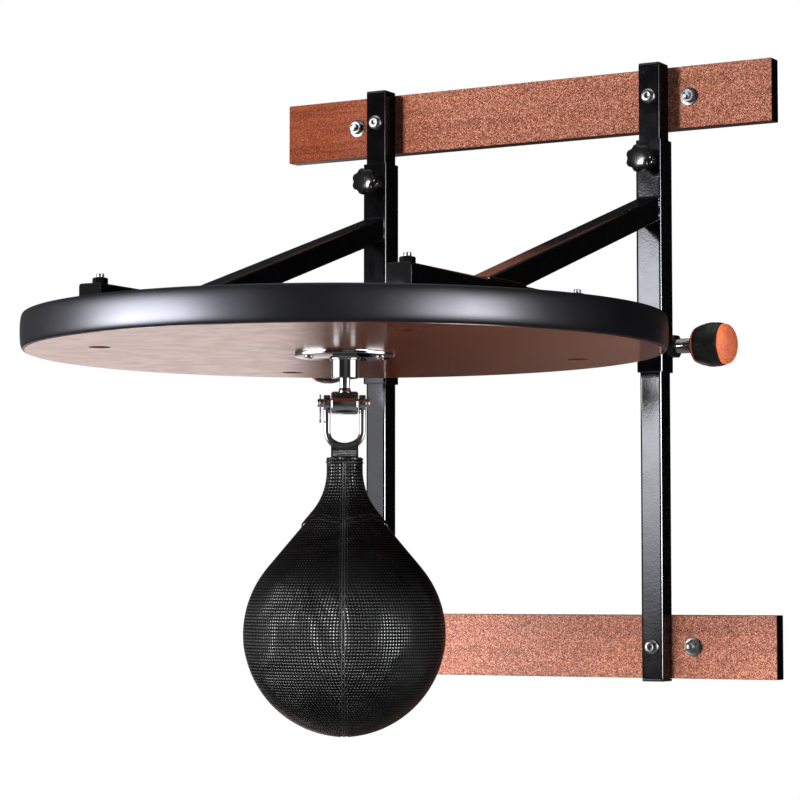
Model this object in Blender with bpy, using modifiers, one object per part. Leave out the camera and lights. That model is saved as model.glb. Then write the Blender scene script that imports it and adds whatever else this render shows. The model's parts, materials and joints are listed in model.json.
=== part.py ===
"""Wall-mounted speed bag platform with a height-adjustable carriage, a swivel and a bag.

Frame: the wall is the plane y = 0, with the room on the -Y side. X runs along the wall and
Z is up. The origin is the centre of the upper wall board's back face.
"""

import math

import bmesh
import bpy
from mathutils import Matrix, Vector

# ---------------------------------------------------------------- driving dimensions, metres

GAP = 0.0003  # left between neighbouring pieces
EDGE = 0.0008  # chamfer on turned edges
THROUGH = 0.1  # length of a cutter that passes right through its piece
ORIGIN = (0, 0, 0)

BOARD_LENGTH = 0.596
BOARD_HEIGHT = 0.067
BOARD_THICKNESS = 0.018
BOARD_SPACING = 0.585  # centre to centre
BOARD_EDGE = 0.001

TUBE = 0.025  # square tube of the posts, arms and braces
TUBE_WALL = 0.0015
TUBE_CORNER = 0.0025
POST_X = 0.168
CAP_PLATE = 0.0025
CAP_PLUG = 0.008

SLEEVE = 0.030
SLEEVE_WALL = 0.002
SLEEVE_CORNER = 0.003
SLEEVE_LENGTH = 0.248
SLEEVE_TOP_Z = -0.047

BOLT_RADIUS = 0.004  # M8
HOLE_RADIUS = 0.0043
HEAD_RADIUS = 0.008
HEAD_HEIGHT = 0.0045
SOCKET_ACROSS = 0.005
SOCKET_DEPTH = 0.0025
NUT_ACROSS = 0.013
NUT_HEIGHT = 0.0065
WALL_BOLT_OFFSET = 0.037  # outboard of the post
WASHER_RADIUS = 0.0100
WASHER_THICKNESS = 0.0018
STUD_END = 0.004  # thread that stands past a nut
SHORT_OF_BACK = 0.001  # bolts end this far inside a board's back

INDEX_PITCH = 0.040  # height setting holes down the posts
INDEX_COUNT = 7
INDEX_HOLE_RADIUS = 0.0045
PULL_PIN_Z = -0.268

KNOB_Z = -0.070  # clamping star knobs
KNOB_RADIUS = 0.0138
KNOB_LOBE = 0.0012
KNOB_LOBES = 7
KNOB_THICKNESS = 0.014
KNOB_STANDOFF = 0.0145
KNOB_SOCKET = 0.009
KNOB_EDGE = 0.0022

ARM_TOP_Z = -0.235
ARM_LENGTH = 0.537  # from the sleeve's front
BRACE_TOP_Z = -0.109
BRACE_REACH = 0.391  # from the sleeve's front to the toe on the arm

PLATFORM_RADIUS = 0.315
PLATFORM_THICKNESS = 0.034
RIM_WIDTH = 0.010
RIM_CORNER = 0.004
RIM_BULGE = 0.0022
PLATFORM_OFFSET = 0.348  # centre, from the sleeve's front
PLATFORM_BOLT_Y = 0.174  # each side of the centre
COUNTERBORE_RADIUS = 0.0105
COUNTERBORE_DEPTH = 0.008

HEX_LENGTH = 0.011  # pull pin housing
HEX_ACROSS = 0.023
SHANK_RADIUS = 0.008
SHANK_END = 0.029
HOUSING_BORE = 0.0065
SPRING_SEAT = 0.026  # where the bore narrows
PLUNGER_TIP = -0.0022
PLUNGER_COLLAR_RADIUS = 0.0058
PLUNGER_COLLAR_START = 0.0070
PLUNGER_COLLAR_WIDTH = 0.002
PULL_KNOB_START = 0.0305
PULL_KNOB_END = 0.0765
PULL_KNOB_RADIUS = 0.0235
PULL_KNOB_END_RADIUS = 0.0185
GRIP_START = 0.0350
GRIP_END = 0.0640
CORE_RADIUS = 0.0110
RECESS_RADIUS = 0.0085  # the knob's recess, which slides over the threaded barrel
RECESS_END = 0.0360
SPRING_WIRE = 0.0005
SPRING_RADIUS = 0.0052
SPRING_TURNS = 3

SWIVEL_TURN = math.radians(30)  # rest attitude of the swivel about Z
FLANGE_RADIUS = 0.049
FLANGE_THICKNESS = 0.004
COLLAR_RADIUS = 0.0148
COLLAR_Z = -0.0072
BARREL_RADIUS = 0.0132
BARREL_END_Z = -0.025
BARREL_BORE = 0.0105
LIP_THICKNESS = 0.004
LIP_BORE = 0.0056
FLANGE_SCREW_CIRCLE = 0.040
FLANGE_SCREW_RADIUS = 0.002
FLANGE_SCREW_HEAD = 0.0045
BEARING_HEIGHT = 0.006
BEARING_RADIUS = 0.0101
STEM_RADIUS = 0.005
STEM_HEAD_RADIUS = 0.0096
STEM_HEAD_HEIGHT = 0.004
CROSSHEAD_RADIUS = 0.0112
CROSSHEAD_LENGTH = 0.0264
CROSSHEAD_CHAMFER = 0.0015
PIN_Z = -0.049
PIN_BORE = 0.0042
PIN_RADIUS = 0.0040
PIN_END_X = -0.0265
PIN_HEAD_X = 0.0212
PIN_HEAD_RADIUS = 0.0062
PIN_HEAD_THICKNESS = 0.0042

CLIP_X = -0.0238
CLIP_WIRE = 0.0008
CLIP_TOP = 0.0075
CLIP_LEG = 0.0150
CLIP_RING = 0.0034

SHACKLE_ROD = 0.00315
SHACKLE_HALF = 0.0172
SHACKLE_LEG = 0.027
EYE_RADIUS = 0.0078
EYE_WIDTH = 0.0066

LOOP_DROP = 0.0416  # loop pivot below the cross pin
LOOP_WIDTH = 0.024
LOOP_STRAP = 0.002
LOOP_HOLE = 0.0049
LOOP_HOLE_HALF = 0.0033
LOOP_TAIL_HALF = 0.0026

NECK_TOP = -0.0124  # bag, from the loop's pivot
NECK_RADIUS = 0.0165
NECK_ARC = 0.060
SHOULDER_ANGLE = math.radians(40)  # of the cone, from the bag's axis
BAG_RADIUS = 0.100
BAG_CENTRE_Z = -0.1834
COVER_THICKNESS = 0.0025
BLADDER_THICKNESS = 0.0012
BLADDER_GAP = 0.0008
VALVE_RADIUS = 0.003

SMALL_STEPS = 12
MEDIUM_STEPS = 16
BAG_STEPS = 20
PLATFORM_STEPS = 56

# ---------------------------------------------------------------- places worked out from them

POST_Y = -(BOARD_THICKNESS + GAP + TUBE / 2)
POST_FRONT_Y = POST_Y - TUBE / 2
SLEEVE_FRONT_Y = POST_Y - SLEEVE / 2
FRAME_TOP_Z = BOARD_HEIGHT / 2
FRAME_BOTTOM_Z = -BOARD_SPACING - BOARD_HEIGHT / 2
ARM_Z = ARM_TOP_Z - TUBE / 2
PLATFORM_TOP_Z = ARM_TOP_Z - TUBE - GAP
UNDERSIDE_Z = PLATFORM_TOP_Z - PLATFORM_THICKNESS
PLATFORM_Y = SLEEVE_FRONT_Y - PLATFORM_OFFSET
SIDES = {"left": -1, "right": 1}
TUBE_SIZE = (TUBE, TUBE_WALL, TUBE_CORNER)
SLEEVE_SIZE = (SLEEVE, SLEEVE_WALL, SLEEVE_CORNER)
QUARTER = math.pi / 2
FACE_ROOM = (QUARTER, 0, 0)  # turns local +Z to the room, world -Y
ACROSS = (0, QUARTER, 0)  # turns local +Z to +X
WALL_DRILL = 0.010  # length of a cutter that opens only the near wall of a sleeve

PARTS = None
CUTTERS = None


# ---------------------------------------------------------------- scene and material helpers


def clear_scene():
    for obj in list(bpy.data.objects):
        bpy.data.objects.remove(obj, do_unlink=True)


def new_collection(name):
    collection = bpy.data.collections.new(name)
    bpy.context.scene.collection.children.link(collection)
    return collection


def material(name, colour, roughness, metallic=0.0):
    made = bpy.data.materials.get(name)
    if made:
        return made
    made = bpy.data.materials.new(name)
    made.use_nodes = True
    shader = made.node_tree.nodes["Principled BSDF"]
    shader.inputs["Base Color"].default_value = (*colour, 1)
    shader.inputs["Roughness"].default_value = roughness
    shader.inputs["Metallic"].default_value = metallic
    return made


def laminate():
    return material("red_brown_laminate", (0.30, 0.10, 0.06), 0.45)


def gloss_laminate():
    return material("gloss_brown_laminate", (0.09, 0.035, 0.022), 0.18)


def black_steel():
    return material("black_powder_coat", (0.012, 0.012, 0.014), 0.22)


def zinc_steel():
    return material("zinc_plated_steel", (0.70, 0.70, 0.72), 0.28, 1.0)


def chrome():
    return material("chrome", (0.78, 0.79, 0.81), 0.08, 1.0)


def spring_steel():
    return material("spring_steel", (0.45, 0.45, 0.47), 0.3, 1.0)


def black_plastic():
    return material("black_plastic", (0.015, 0.015, 0.016), 0.35)


def gloss_black_plastic():
    return material("gloss_black_plastic", (0.01, 0.01, 0.011), 0.12)


def orange_plastic():
    return material("orange_plastic", (0.85, 0.16, 0.02), 0.35)


def black_rubber():
    return material("black_rim_rubber", (0.014, 0.014, 0.015), 0.5)


def black_leather():
    return material("black_bag_leather", (0.02, 0.02, 0.022), 0.5)


def black_webbing():
    return material("black_webbing", (0.02, 0.02, 0.02), 0.8)


def bladder_rubber():
    return material("bladder_rubber", (0.16, 0.12, 0.09), 0.55)


# ---------------------------------------------------------------- modelling helpers


def frame_empty(name, location, rotation=ORIGIN, parent=None):
    """An empty on a joint's axis, which its moving pieces are parented to."""
    empty = bpy.data.objects.new(name, None)
    empty.empty_display_size = 0.02
    empty.location = location
    empty.rotation_euler = rotation
    empty.parent = parent
    PARTS.objects.link(empty)
    return empty


def place(name, mesh, look, parent, location, rotation):
    """Links a mesh as a part, or as a cutter when it has no look."""
    obj = bpy.data.objects.new(name, mesh)
    obj.location = location
    obj.rotation_euler = rotation
    obj.parent = parent
    if look:
        mesh.materials.append(look)
        PARTS.objects.link(obj)
    else:
        obj.hide_render = True
        obj.display_type = "WIRE"
        CUTTERS.objects.link(obj)
    return obj


def mesh_of(name, bm, smooth_below=35):
    mesh = bpy.data.meshes.new(name)
    bm.to_mesh(mesh)
    bm.free()
    mesh.shade_smooth()
    mesh.set_sharp_from_angle(angle=math.radians(smooth_below))
    return mesh


def box(name, size, look=None, parent=None, location=ORIGIN, rotation=ORIGIN):
    bm = bmesh.new()
    bmesh.ops.create_cube(bm, size=1)
    bmesh.ops.scale(bm, vec=size, verts=bm.verts)
    return place(name, mesh_of(name, bm), look, parent, location, rotation)


def cylinder(
    name, radius, length, look=None, parent=None, location=ORIGIN, rotation=ORIGIN, steps=SMALL_STEPS
):
    """A round bar along its own Z, centred on its origin."""
    bm = bmesh.new()
    bmesh.ops.create_cone(
        bm, cap_ends=True, segments=steps, radius1=radius, radius2=radius, depth=length
    )
    return place(name, mesh_of(name, bm), look, parent, location, rotation)


def hexagon(name, across, length, look=None, parent=None, location=ORIGIN, rotation=ORIGIN):
    return cylinder(name, across / math.sqrt(3), length, look, parent, location, rotation, steps=6)


def turned(
    name,
    profile,
    look=None,
    parent=None,
    location=ORIGIN,
    rotation=ORIGIN,
    steps=SMALL_STEPS,
    ring=False,
):
    """A solid of revolution about its own Z. The profile's (radius, z) points run down the outer side."""
    bm = bmesh.new()
    points = [bm.verts.new((radius, 0, z)) for radius, z in profile]
    for first, second in zip(points, points[1:]):
        bm.edges.new((first, second))
    if ring:
        bm.edges.new((points[-1], points[0]))
    mesh = bpy.data.meshes.new(name)
    bm.to_mesh(mesh)
    bm.free()
    obj = place(name, mesh, look, parent, location, rotation)
    screw = obj.modifiers.new("turn", "SCREW")
    screw.steps = steps
    screw.render_steps = steps
    screw.use_merge_vertices = True
    screw.merge_threshold = 0.00001
    return obj


def curve_object(name, outlines, closed):
    curve = bpy.data.curves.new(name, "CURVE")
    curve.dimensions = "3D"
    for outline in outlines:
        spline = curve.splines.new("POLY")
        spline.points.add(len(outline) - 1)
        for point, place_of in zip(spline.points, outline):
            point.co = (*Vector(place_of).to_3d(), 1)
        spline.use_cyclic_u = closed
    obj = bpy.data.objects.new(name, curve)
    bpy.context.scene.collection.objects.link(obj)
    return obj


def meshed(curve, name, look, parent, location, rotation):
    """The curve's shape as a welded mesh object, in place of the curve."""
    bpy.context.view_layer.update()
    evaluated = curve.evaluated_get(bpy.context.evaluated_depsgraph_get())
    raw = bpy.data.meshes.new_from_object(evaluated)
    bm = bmesh.new()
    bm.from_mesh(raw)
    bmesh.ops.remove_doubles(bm, verts=bm.verts, dist=0.000001)
    bmesh.ops.recalc_face_normals(bm, faces=bm.faces)
    bpy.data.meshes.remove(raw)
    bpy.data.objects.remove(curve, do_unlink=True)
    return place(name, mesh_of(name, bm), look, parent, location, rotation)


def plate(name, outlines, thickness, look=None, parent=None, location=ORIGIN, rotation=ORIGIN):
    """A flat outline, with any holes in it, as thick as stated along its own Z and centred there."""
    curve = curve_object(name, outlines, closed=True)
    curve.data.dimensions = "2D"
    curve.data.fill_mode = "BOTH"
    curve.data.extrude = thickness / 2
    return meshed(curve, name, look, parent, location, rotation)


def wire(name, path, radius, look, parent=None, location=ORIGIN, rotation=ORIGIN, roundness=1):
    curve = curve_object(name, [path], closed=False)
    curve.data.bevel_depth = radius
    curve.data.bevel_resolution = roundness
    curve.data.use_fill_caps = True
    return meshed(curve, name, look, parent, location, rotation)


def combine(obj, operation, others):
    for other in others:
        boolean = obj.modifiers.new(operation.lower(), "BOOLEAN")
        boolean.operation = operation
        boolean.object = other


def cut(obj, *cutters):
    combine(obj, "DIFFERENCE", cutters)


def join(obj, *pieces):
    combine(obj, "UNION", pieces)


def round_edges(obj, width, segments=2, angle=40):
    bevel = obj.modifiers.new("rounded", "BEVEL")
    bevel.width = width
    bevel.segments = segments
    bevel.limit_method = "ANGLE"
    bevel.angle_limit = math.radians(angle)


def arc(centre, radius, start, end, count):
    """Points along an arc, both ends included."""
    angles = [start + (end - start) * step / (count - 1) for step in range(count)]
    return [(centre[0] + radius * math.cos(a), centre[1] + radius * math.sin(a)) for a in angles]


def rounded_square(side, corner, count=3):
    inset = side / 2 - corner
    points = []
    for quarter in range(4):
        start = quarter * QUARTER
        sign_x = 1 if quarter in (0, 3) else -1
        sign_y = 1 if quarter in (0, 1) else -1
        points += arc((sign_x * inset, sign_y * inset), corner, start, start + QUARTER, count)
    return points


def square_tube(name, size, length, look, parent=None, location=ORIGIN, rotation=ORIGIN):
    """A hollow square section with rounded corners, along its own Z. Size is side, wall and corner."""
    side, wall, corner = size
    outer = rounded_square(side, corner)
    inner = rounded_square(side - 2 * wall, corner - wall * 0.6)
    return plate(name, [outer, inner], length, look, parent, location, rotation)


def tube_cap(name, outward, parent, location, rotation):
    """A push-in cap: a plate over the tube's end and a plug inside it, facing local +Z."""
    outline = rounded_square(TUBE, TUBE_CORNER)
    cap = plate(name, [outline], CAP_PLATE, black_plastic(), parent, location, rotation)
    plug_side = TUBE - 2 * TUBE_WALL - 4 * GAP
    depth = CAP_PLUG + CAP_PLATE / 2
    plug_place = Vector(location) - Vector(outward) * (depth / 2)
    plug = box(name + "_plug", (plug_side, plug_side, depth), None, parent, plug_place, rotation)
    join(cap, plug)
    return cap


def button_bolt(name, length, parent, location, rotation, look=None):
    """A round-headed socket bolt whose head sits on local z = 0 and whose shank runs down -Z."""
    profile = [
        (0, HEAD_HEIGHT),
        (HEAD_RADIUS * 0.62, HEAD_HEIGHT),
        (HEAD_RADIUS * 0.88, HEAD_HEIGHT * 0.68),
        (HEAD_RADIUS, HEAD_HEIGHT * 0.25),
        (HEAD_RADIUS, 0),
        (BOLT_RADIUS, 0),
        (BOLT_RADIUS, -length),
        (0, -length),
    ]
    bolt = turned(name, profile, look or zinc_steel(), parent, location, rotation)
    offset = Matrix.Translation(location) @ matrix_of(rotation) @ Vector((0, 0, HEAD_HEIGHT))
    socket = hexagon(name + "_socket", SOCKET_ACROSS, 2 * SOCKET_DEPTH, None, parent, offset, rotation)
    cut(bolt, socket)
    return bolt


def matrix_of(rotation):
    turn_z = Matrix.Rotation(rotation[2], 4, "Z")
    turn_y = Matrix.Rotation(rotation[1], 4, "Y")
    turn_x = Matrix.Rotation(rotation[0], 4, "X")
    return turn_z @ turn_y @ turn_x


# ---------------------------------------------------------------- fixed wall frame


def wall_board(name, centre_z):
    centre = (0, -BOARD_THICKNESS / 2, centre_z)
    board = box(name, (BOARD_LENGTH, BOARD_THICKNESS, BOARD_HEIGHT), laminate(), None, centre)
    round_edges(board, BOARD_EDGE, segments=1)
    for side, sign in SIDES.items():
        for offset in (0, WALL_BOLT_OFFSET):
            where = (sign * (POST_X + offset), centre[1], centre_z)
            hole = cylinder(f"{name}_{side}_hole", HOLE_RADIUS, THROUGH, None, None, where, FACE_ROOM)
            cut(board, hole)
    return board


def post(side, sign):
    length = FRAME_TOP_Z - FRAME_BOTTOM_Z
    centre = (sign * POST_X, POST_Y, (FRAME_TOP_Z + FRAME_BOTTOM_Z) / 2)
    name = f"{side}_post"
    made = square_tube(name, TUBE_SIZE, length, black_steel(), None, centre)
    for level in (0, -BOARD_SPACING):
        where = (sign * POST_X, POST_Y, level)
        cut(made, cylinder(f"{name}_bolt_hole", HOLE_RADIUS, THROUGH, None, None, where, FACE_ROOM))
    for index in range(INDEX_COUNT):
        where = (sign * (POST_X + TUBE / 2), POST_Y, PULL_PIN_Z - index * INDEX_PITCH)
        hole = cylinder(f"{name}_index_hole", INDEX_HOLE_RADIUS, TUBE / 2, None, None, where, ACROSS)
        cut(made, hole)
    return made


def post_caps(side, sign):
    middle = GAP + CAP_PLATE / 2
    top = (sign * POST_X, POST_Y, FRAME_TOP_Z + middle)
    bottom = (sign * POST_X, POST_Y, FRAME_BOTTOM_Z - middle)
    tube_cap(f"{side}_post_top_cap", (0, 0, 1), None, top, ORIGIN)
    tube_cap(f"{side}_post_bottom_cap", (0, 0, -1), None, bottom, ORIGIN)


def post_bolt(name, x, z):
    head_y = POST_FRONT_Y - GAP
    length = -head_y - SHORT_OF_BACK
    return button_bolt(name, length, None, (x, head_y, z), FACE_ROOM)


def wall_bolt(name, x, z):
    """A stud through the board with its washer and nut, ending just inside the board's back."""
    nut_face = WASHER_THICKNESS + NUT_HEIGHT
    profile = [
        (0, nut_face + STUD_END),
        (BOLT_RADIUS - EDGE, nut_face + STUD_END),
        (BOLT_RADIUS, nut_face + STUD_END - EDGE),
        (BOLT_RADIUS, WASHER_THICKNESS),
        (WASHER_RADIUS - EDGE / 2, WASHER_THICKNESS),
        (WASHER_RADIUS, WASHER_THICKNESS - EDGE / 2),
        (WASHER_RADIUS, 0),
        (BOLT_RADIUS, 0),
        (BOLT_RADIUS, SHORT_OF_BACK - BOARD_THICKNESS),
        (0, SHORT_OF_BACK - BOARD_THICKNESS),
    ]
    where = Vector((x, -BOARD_THICKNESS - GAP, z))
    bolt = turned(name, profile, zinc_steel(), None, where, FACE_ROOM)
    nut_middle = where + Vector((0, -WASHER_THICKNESS - NUT_HEIGHT / 2 + 0.0001, 0))
    nut = hexagon(name + "_nut", NUT_ACROSS, NUT_HEIGHT + 0.0002, None, None, nut_middle, FACE_ROOM)
    join(bolt, nut)
    return bolt


def wall_frame():
    wall_board("upper_wall_board", 0)
    wall_board("lower_wall_board", -BOARD_SPACING)
    for side, sign in SIDES.items():
        post(side, sign)
        post_caps(side, sign)
        for level, z in {"upper": 0, "lower": -BOARD_SPACING}.items():
            post_bolt(f"{level}_{side}_post_bolt", sign * POST_X, z)
            wall_bolt(f"{level}_{side}_wall_bolt", sign * (POST_X + WALL_BOLT_OFFSET), z)


# ---------------------------------------------------------------- sliding carriage


def sleeve(side, sign, carriage):
    name = f"{side}_sleeve"
    centre = (sign * POST_X, POST_Y, SLEEVE_TOP_Z - SLEEVE_LENGTH / 2)
    made = square_tube(name, SLEEVE_SIZE, SLEEVE_LENGTH, black_steel(), carriage, centre)
    front = (sign * POST_X, SLEEVE_FRONT_Y, KNOB_Z)
    cut(made, cylinder(f"{name}_knob_hole", HOLE_RADIUS, WALL_DRILL, None, carriage, front, FACE_ROOM))
    outer = (sign * (POST_X + SLEEVE / 2), POST_Y, PULL_PIN_Z)
    hole = cylinder(f"{name}_pin_hole", INDEX_HOLE_RADIUS, WALL_DRILL, None, carriage, outer, ACROSS)
    cut(made, hole)
    return made


def arm(side, sign, carriage):
    """The tube that carries the platform, with a weld nut over each of its two bolts."""
    name = f"{side}_arm"
    start = SLEEVE_FRONT_Y - GAP
    length = ARM_LENGTH - GAP
    centre = (sign * POST_X, start - length / 2, ARM_Z)
    made = square_tube(name, TUBE_SIZE, length, black_steel(), carriage, centre, FACE_ROOM)
    for y in platform_bolt_rows():
        nut_place = (sign * POST_X, y, ARM_TOP_Z + NUT_HEIGHT / 2 - 0.0002)
        nut = hexagon(f"{name}_weld_nut", NUT_ACROSS, NUT_HEIGHT, None, carriage, nut_place)
        join(made, nut)
    for y in platform_bolt_rows():
        where = (sign * POST_X, y, ARM_Z)
        cut(made, cylinder(f"{name}_hole", HOLE_RADIUS, THROUGH, None, carriage, where))
    cap_place = (sign * POST_X, start - length - GAP - CAP_PLATE / 2, ARM_Z)
    tube_cap(f"{side}_arm_end_cap", (0, -1, 0), carriage, cap_place, FACE_ROOM)
    return made


def platform_bolt_rows():
    return (PLATFORM_Y + PLATFORM_BOLT_Y, PLATFORM_Y - PLATFORM_BOLT_Y)


def brace(side, sign, carriage):
    """A sloping tube, cut upright where it meets the sleeve and level where it meets the arm."""
    name = f"{side}_brace"
    slope = math.atan2(BRACE_TOP_Z - ARM_TOP_Z, BRACE_REACH)
    drop = TUBE / 2 / math.cos(slope)
    middle_reach = BRACE_REACH / 2
    middle_z = BRACE_TOP_Z - middle_reach * math.tan(slope) - drop
    middle = (sign * POST_X, SLEEVE_FRONT_Y - middle_reach, middle_z)
    turn = (QUARTER + slope, 0, 0)
    length = BRACE_REACH / math.cos(slope) + 4 * TUBE
    made = square_tube(name, TUBE_SIZE, length, black_steel(), carriage, middle, turn)
    block = 0.4
    behind = (sign * POST_X, SLEEVE_FRONT_Y - GAP + block / 2, middle_z)
    below = (sign * POST_X, SLEEVE_FRONT_Y - BRACE_REACH, ARM_TOP_Z + GAP - block / 2)
    cut(made, box(f"{name}_sleeve_cut", (block, block, block), None, carriage, behind))
    cut(made, box(f"{name}_arm_cut", (block, 2 * block, block), None, carriage, below))
    return made


def knob_nut(side, sign, carriage):
    middle = (sign * POST_X, SLEEVE_FRONT_Y - GAP - NUT_HEIGHT / 2, KNOB_Z)
    nut = hexagon(f"{side}_knob_nut", NUT_ACROSS, NUT_HEIGHT, zinc_steel(), carriage, middle, FACE_ROOM)
    hole = cylinder(f"{side}_knob_nut_hole", HOLE_RADIUS, THROUGH, None, carriage, middle, FACE_ROOM)
    cut(nut, hole)
    return nut


def platform_board(carriage):
    name = "platform_board"
    radius = PLATFORM_RADIUS - RIM_WIDTH
    centre = (0, PLATFORM_Y, PLATFORM_TOP_Z - PLATFORM_THICKNESS / 2)
    board = cylinder(
        name, radius, PLATFORM_THICKNESS, gloss_laminate(), carriage, centre, steps=PLATFORM_STEPS
    )
    for sign in SIDES.values():
        for y in platform_bolt_rows():
            x = sign * POST_X
            hole = cylinder(f"{name}_hole", HOLE_RADIUS, THROUGH, None, carriage, (x, y, centre[2]))
            mouth = (x, y, UNDERSIDE_Z)
            bore = cylinder(
                f"{name}_bore", COUNTERBORE_RADIUS, 2 * COUNTERBORE_DEPTH, None, carriage, mouth
            )
            cut(board, bore, hole)
    return board


def platform_rim(carriage):
    """A convex rubber band around the platform's edge."""
    inner = PLATFORM_RADIUS - RIM_WIDTH + GAP
    half = PLATFORM_THICKNESS / 2
    corner = RIM_CORNER
    face = PLATFORM_RADIUS - RIM_BULGE
    profile = [
        (inner, half),
        (face - corner, half),
        (face - EDGE, half - corner * 0.45),
        (PLATFORM_RADIUS, 0),
        (face - EDGE, -half + corner * 0.45),
        (face - corner, -half),
        (inner, -half),
    ]
    centre = (0, PLATFORM_Y, PLATFORM_TOP_Z - half)
    steps = PLATFORM_STEPS
    return turned("platform_rim", profile, black_rubber(), carriage, centre, steps=steps, ring=True)


def platform_bolts(carriage):
    ceiling = UNDERSIDE_Z + COUNTERBORE_DEPTH - GAP
    length = ARM_TOP_Z + NUT_HEIGHT + STUD_END - ceiling
    for side, sign in SIDES.items():
        for row, y in zip(("rear", "front"), platform_bolt_rows()):
            name = f"{row}_{side}_platform_bolt"
            button_bolt(name, length, carriage, (sign * POST_X, y, ceiling), (math.pi, 0, 0))


# ---------------------------------------------------------------- star knobs and pull pins


def star_outline():
    count = KNOB_LOBES * 4
    angles = [2 * math.pi * step / count for step in range(count)]
    radii = [KNOB_RADIUS + KNOB_LOBE * math.cos(KNOB_LOBES * angle) for angle in angles]
    return [(radius * math.cos(a), radius * math.sin(a)) for radius, a in zip(radii, angles)]


def star_knob(side, sign, carriage):
    """A knob on a threaded stud that clamps the sleeve to the post. Local +Z points into the room."""
    axis = frame_empty(f"{side}_knob_axis", (sign * POST_X, SLEEVE_FRONT_Y, KNOB_Z), FACE_ROOM, carriage)
    tip = POST_FRONT_Y - GAP - SLEEVE_FRONT_Y
    top = KNOB_STANDOFF + KNOB_SOCKET - GAP
    profile = [
        (0, top),
        (BOLT_RADIUS, top),
        (BOLT_RADIUS, -tip),
        (0, -tip),
    ]
    turned(f"{side}_knob_stud", profile, zinc_steel(), axis)
    middle = KNOB_STANDOFF + KNOB_THICKNESS / 2
    look = gloss_black_plastic()
    knob = plate(f"{side}_star_knob", [star_outline()], KNOB_THICKNESS, look, axis, (0, 0, middle))
    round_edges(knob, KNOB_EDGE, segments=1, angle=60)
    mouth = (0, 0, KNOB_STANDOFF)
    cut(knob, cylinder(f"{side}_knob_socket", HOLE_RADIUS, 2 * KNOB_SOCKET, None, axis, mouth))
    return knob


def pin_housing(side, axis):
    """The hexagon and threaded barrel that the pull pin slides in."""
    name = f"{side}_pin_housing"
    lip_bore = BOLT_RADIUS + GAP
    profile = [
        (SHANK_RADIUS - EDGE, SHANK_END),
        (SHANK_RADIUS, SHANK_END - EDGE),
        (SHANK_RADIUS, GAP),
        (HOUSING_BORE, GAP),
        (HOUSING_BORE, SPRING_SEAT),
        (lip_bore, SPRING_SEAT),
        (lip_bore, SHANK_END),
    ]
    barrel = turned(name, profile, chrome(), axis, steps=MEDIUM_STEPS, ring=True)
    middle = GAP + 0.0002 + HEX_LENGTH / 2
    hexa = hexagon(name + "_hexagon", HEX_ACROSS, HEX_LENGTH, None, axis, (0, 0, middle))
    inner = SHANK_RADIUS - 2 * GAP
    bore = cylinder(name + "_hexagon_bore", inner, THROUGH, None, axis, steps=MEDIUM_STEPS)
    cut(hexa, bore)
    join(barrel, hexa)
    return barrel


def plunger(side, axis):
    """The sprung pin, with the collar that its spring pushes on."""
    collar_end = PLUNGER_COLLAR_START + PLUNGER_COLLAR_WIDTH
    end = PULL_KNOB_END - 0.012
    profile = [
        (0, end),
        (BOLT_RADIUS, end),
        (BOLT_RADIUS, collar_end),
        (PLUNGER_COLLAR_RADIUS, collar_end),
        (PLUNGER_COLLAR_RADIUS, PLUNGER_COLLAR_START),
        (BOLT_RADIUS, PLUNGER_COLLAR_START),
        (BOLT_RADIUS, PLUNGER_TIP + 0.001),
        (BOLT_RADIUS - 0.0012, PLUNGER_TIP),
        (0, PLUNGER_TIP),
    ]
    return turned(f"{side}_plunger", profile, zinc_steel(), axis)


def plunger_spring(side, axis):
    start = PLUNGER_COLLAR_START + PLUNGER_COLLAR_WIDTH + SPRING_WIRE + GAP
    end = SPRING_SEAT - SPRING_WIRE - GAP
    per_turn = 8
    count = SPRING_TURNS * per_turn
    path = []
    for step in range(count + 1):
        angle = 2 * math.pi * step / per_turn
        along = start + (end - start) * step / count
        path.append((SPRING_RADIUS * math.cos(angle), SPRING_RADIUS * math.sin(angle), along))
    return wire(f"{side}_pin_spring", path, SPRING_WIRE, spring_steel(), axis, roundness=0)


def barrel_radius(along):
    """The pull knob's outer radius, largest midway along."""
    middle = (PULL_KNOB_START + PULL_KNOB_END) / 2
    half = (PULL_KNOB_END - PULL_KNOB_START) / 2
    drop = PULL_KNOB_RADIUS - PULL_KNOB_END_RADIUS
    return PULL_KNOB_RADIUS - drop * ((along - middle) / half) ** 2


def spaced(first, last, count):
    return [first + (last - first) * step / (count - 1) for step in range(count)]


def pull_grip(side, axis):
    """The black band around the knob's core."""
    inner = CORE_RADIUS + GAP
    outside = [(barrel_radius(z), z) for z in spaced(GRIP_END, GRIP_START, 5)]
    profile = outside + [(inner, GRIP_START), (inner, GRIP_END)]
    return turned(f"{side}_pull_grip", profile, black_plastic(), axis, steps=MEDIUM_STEPS, ring=True)


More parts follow.
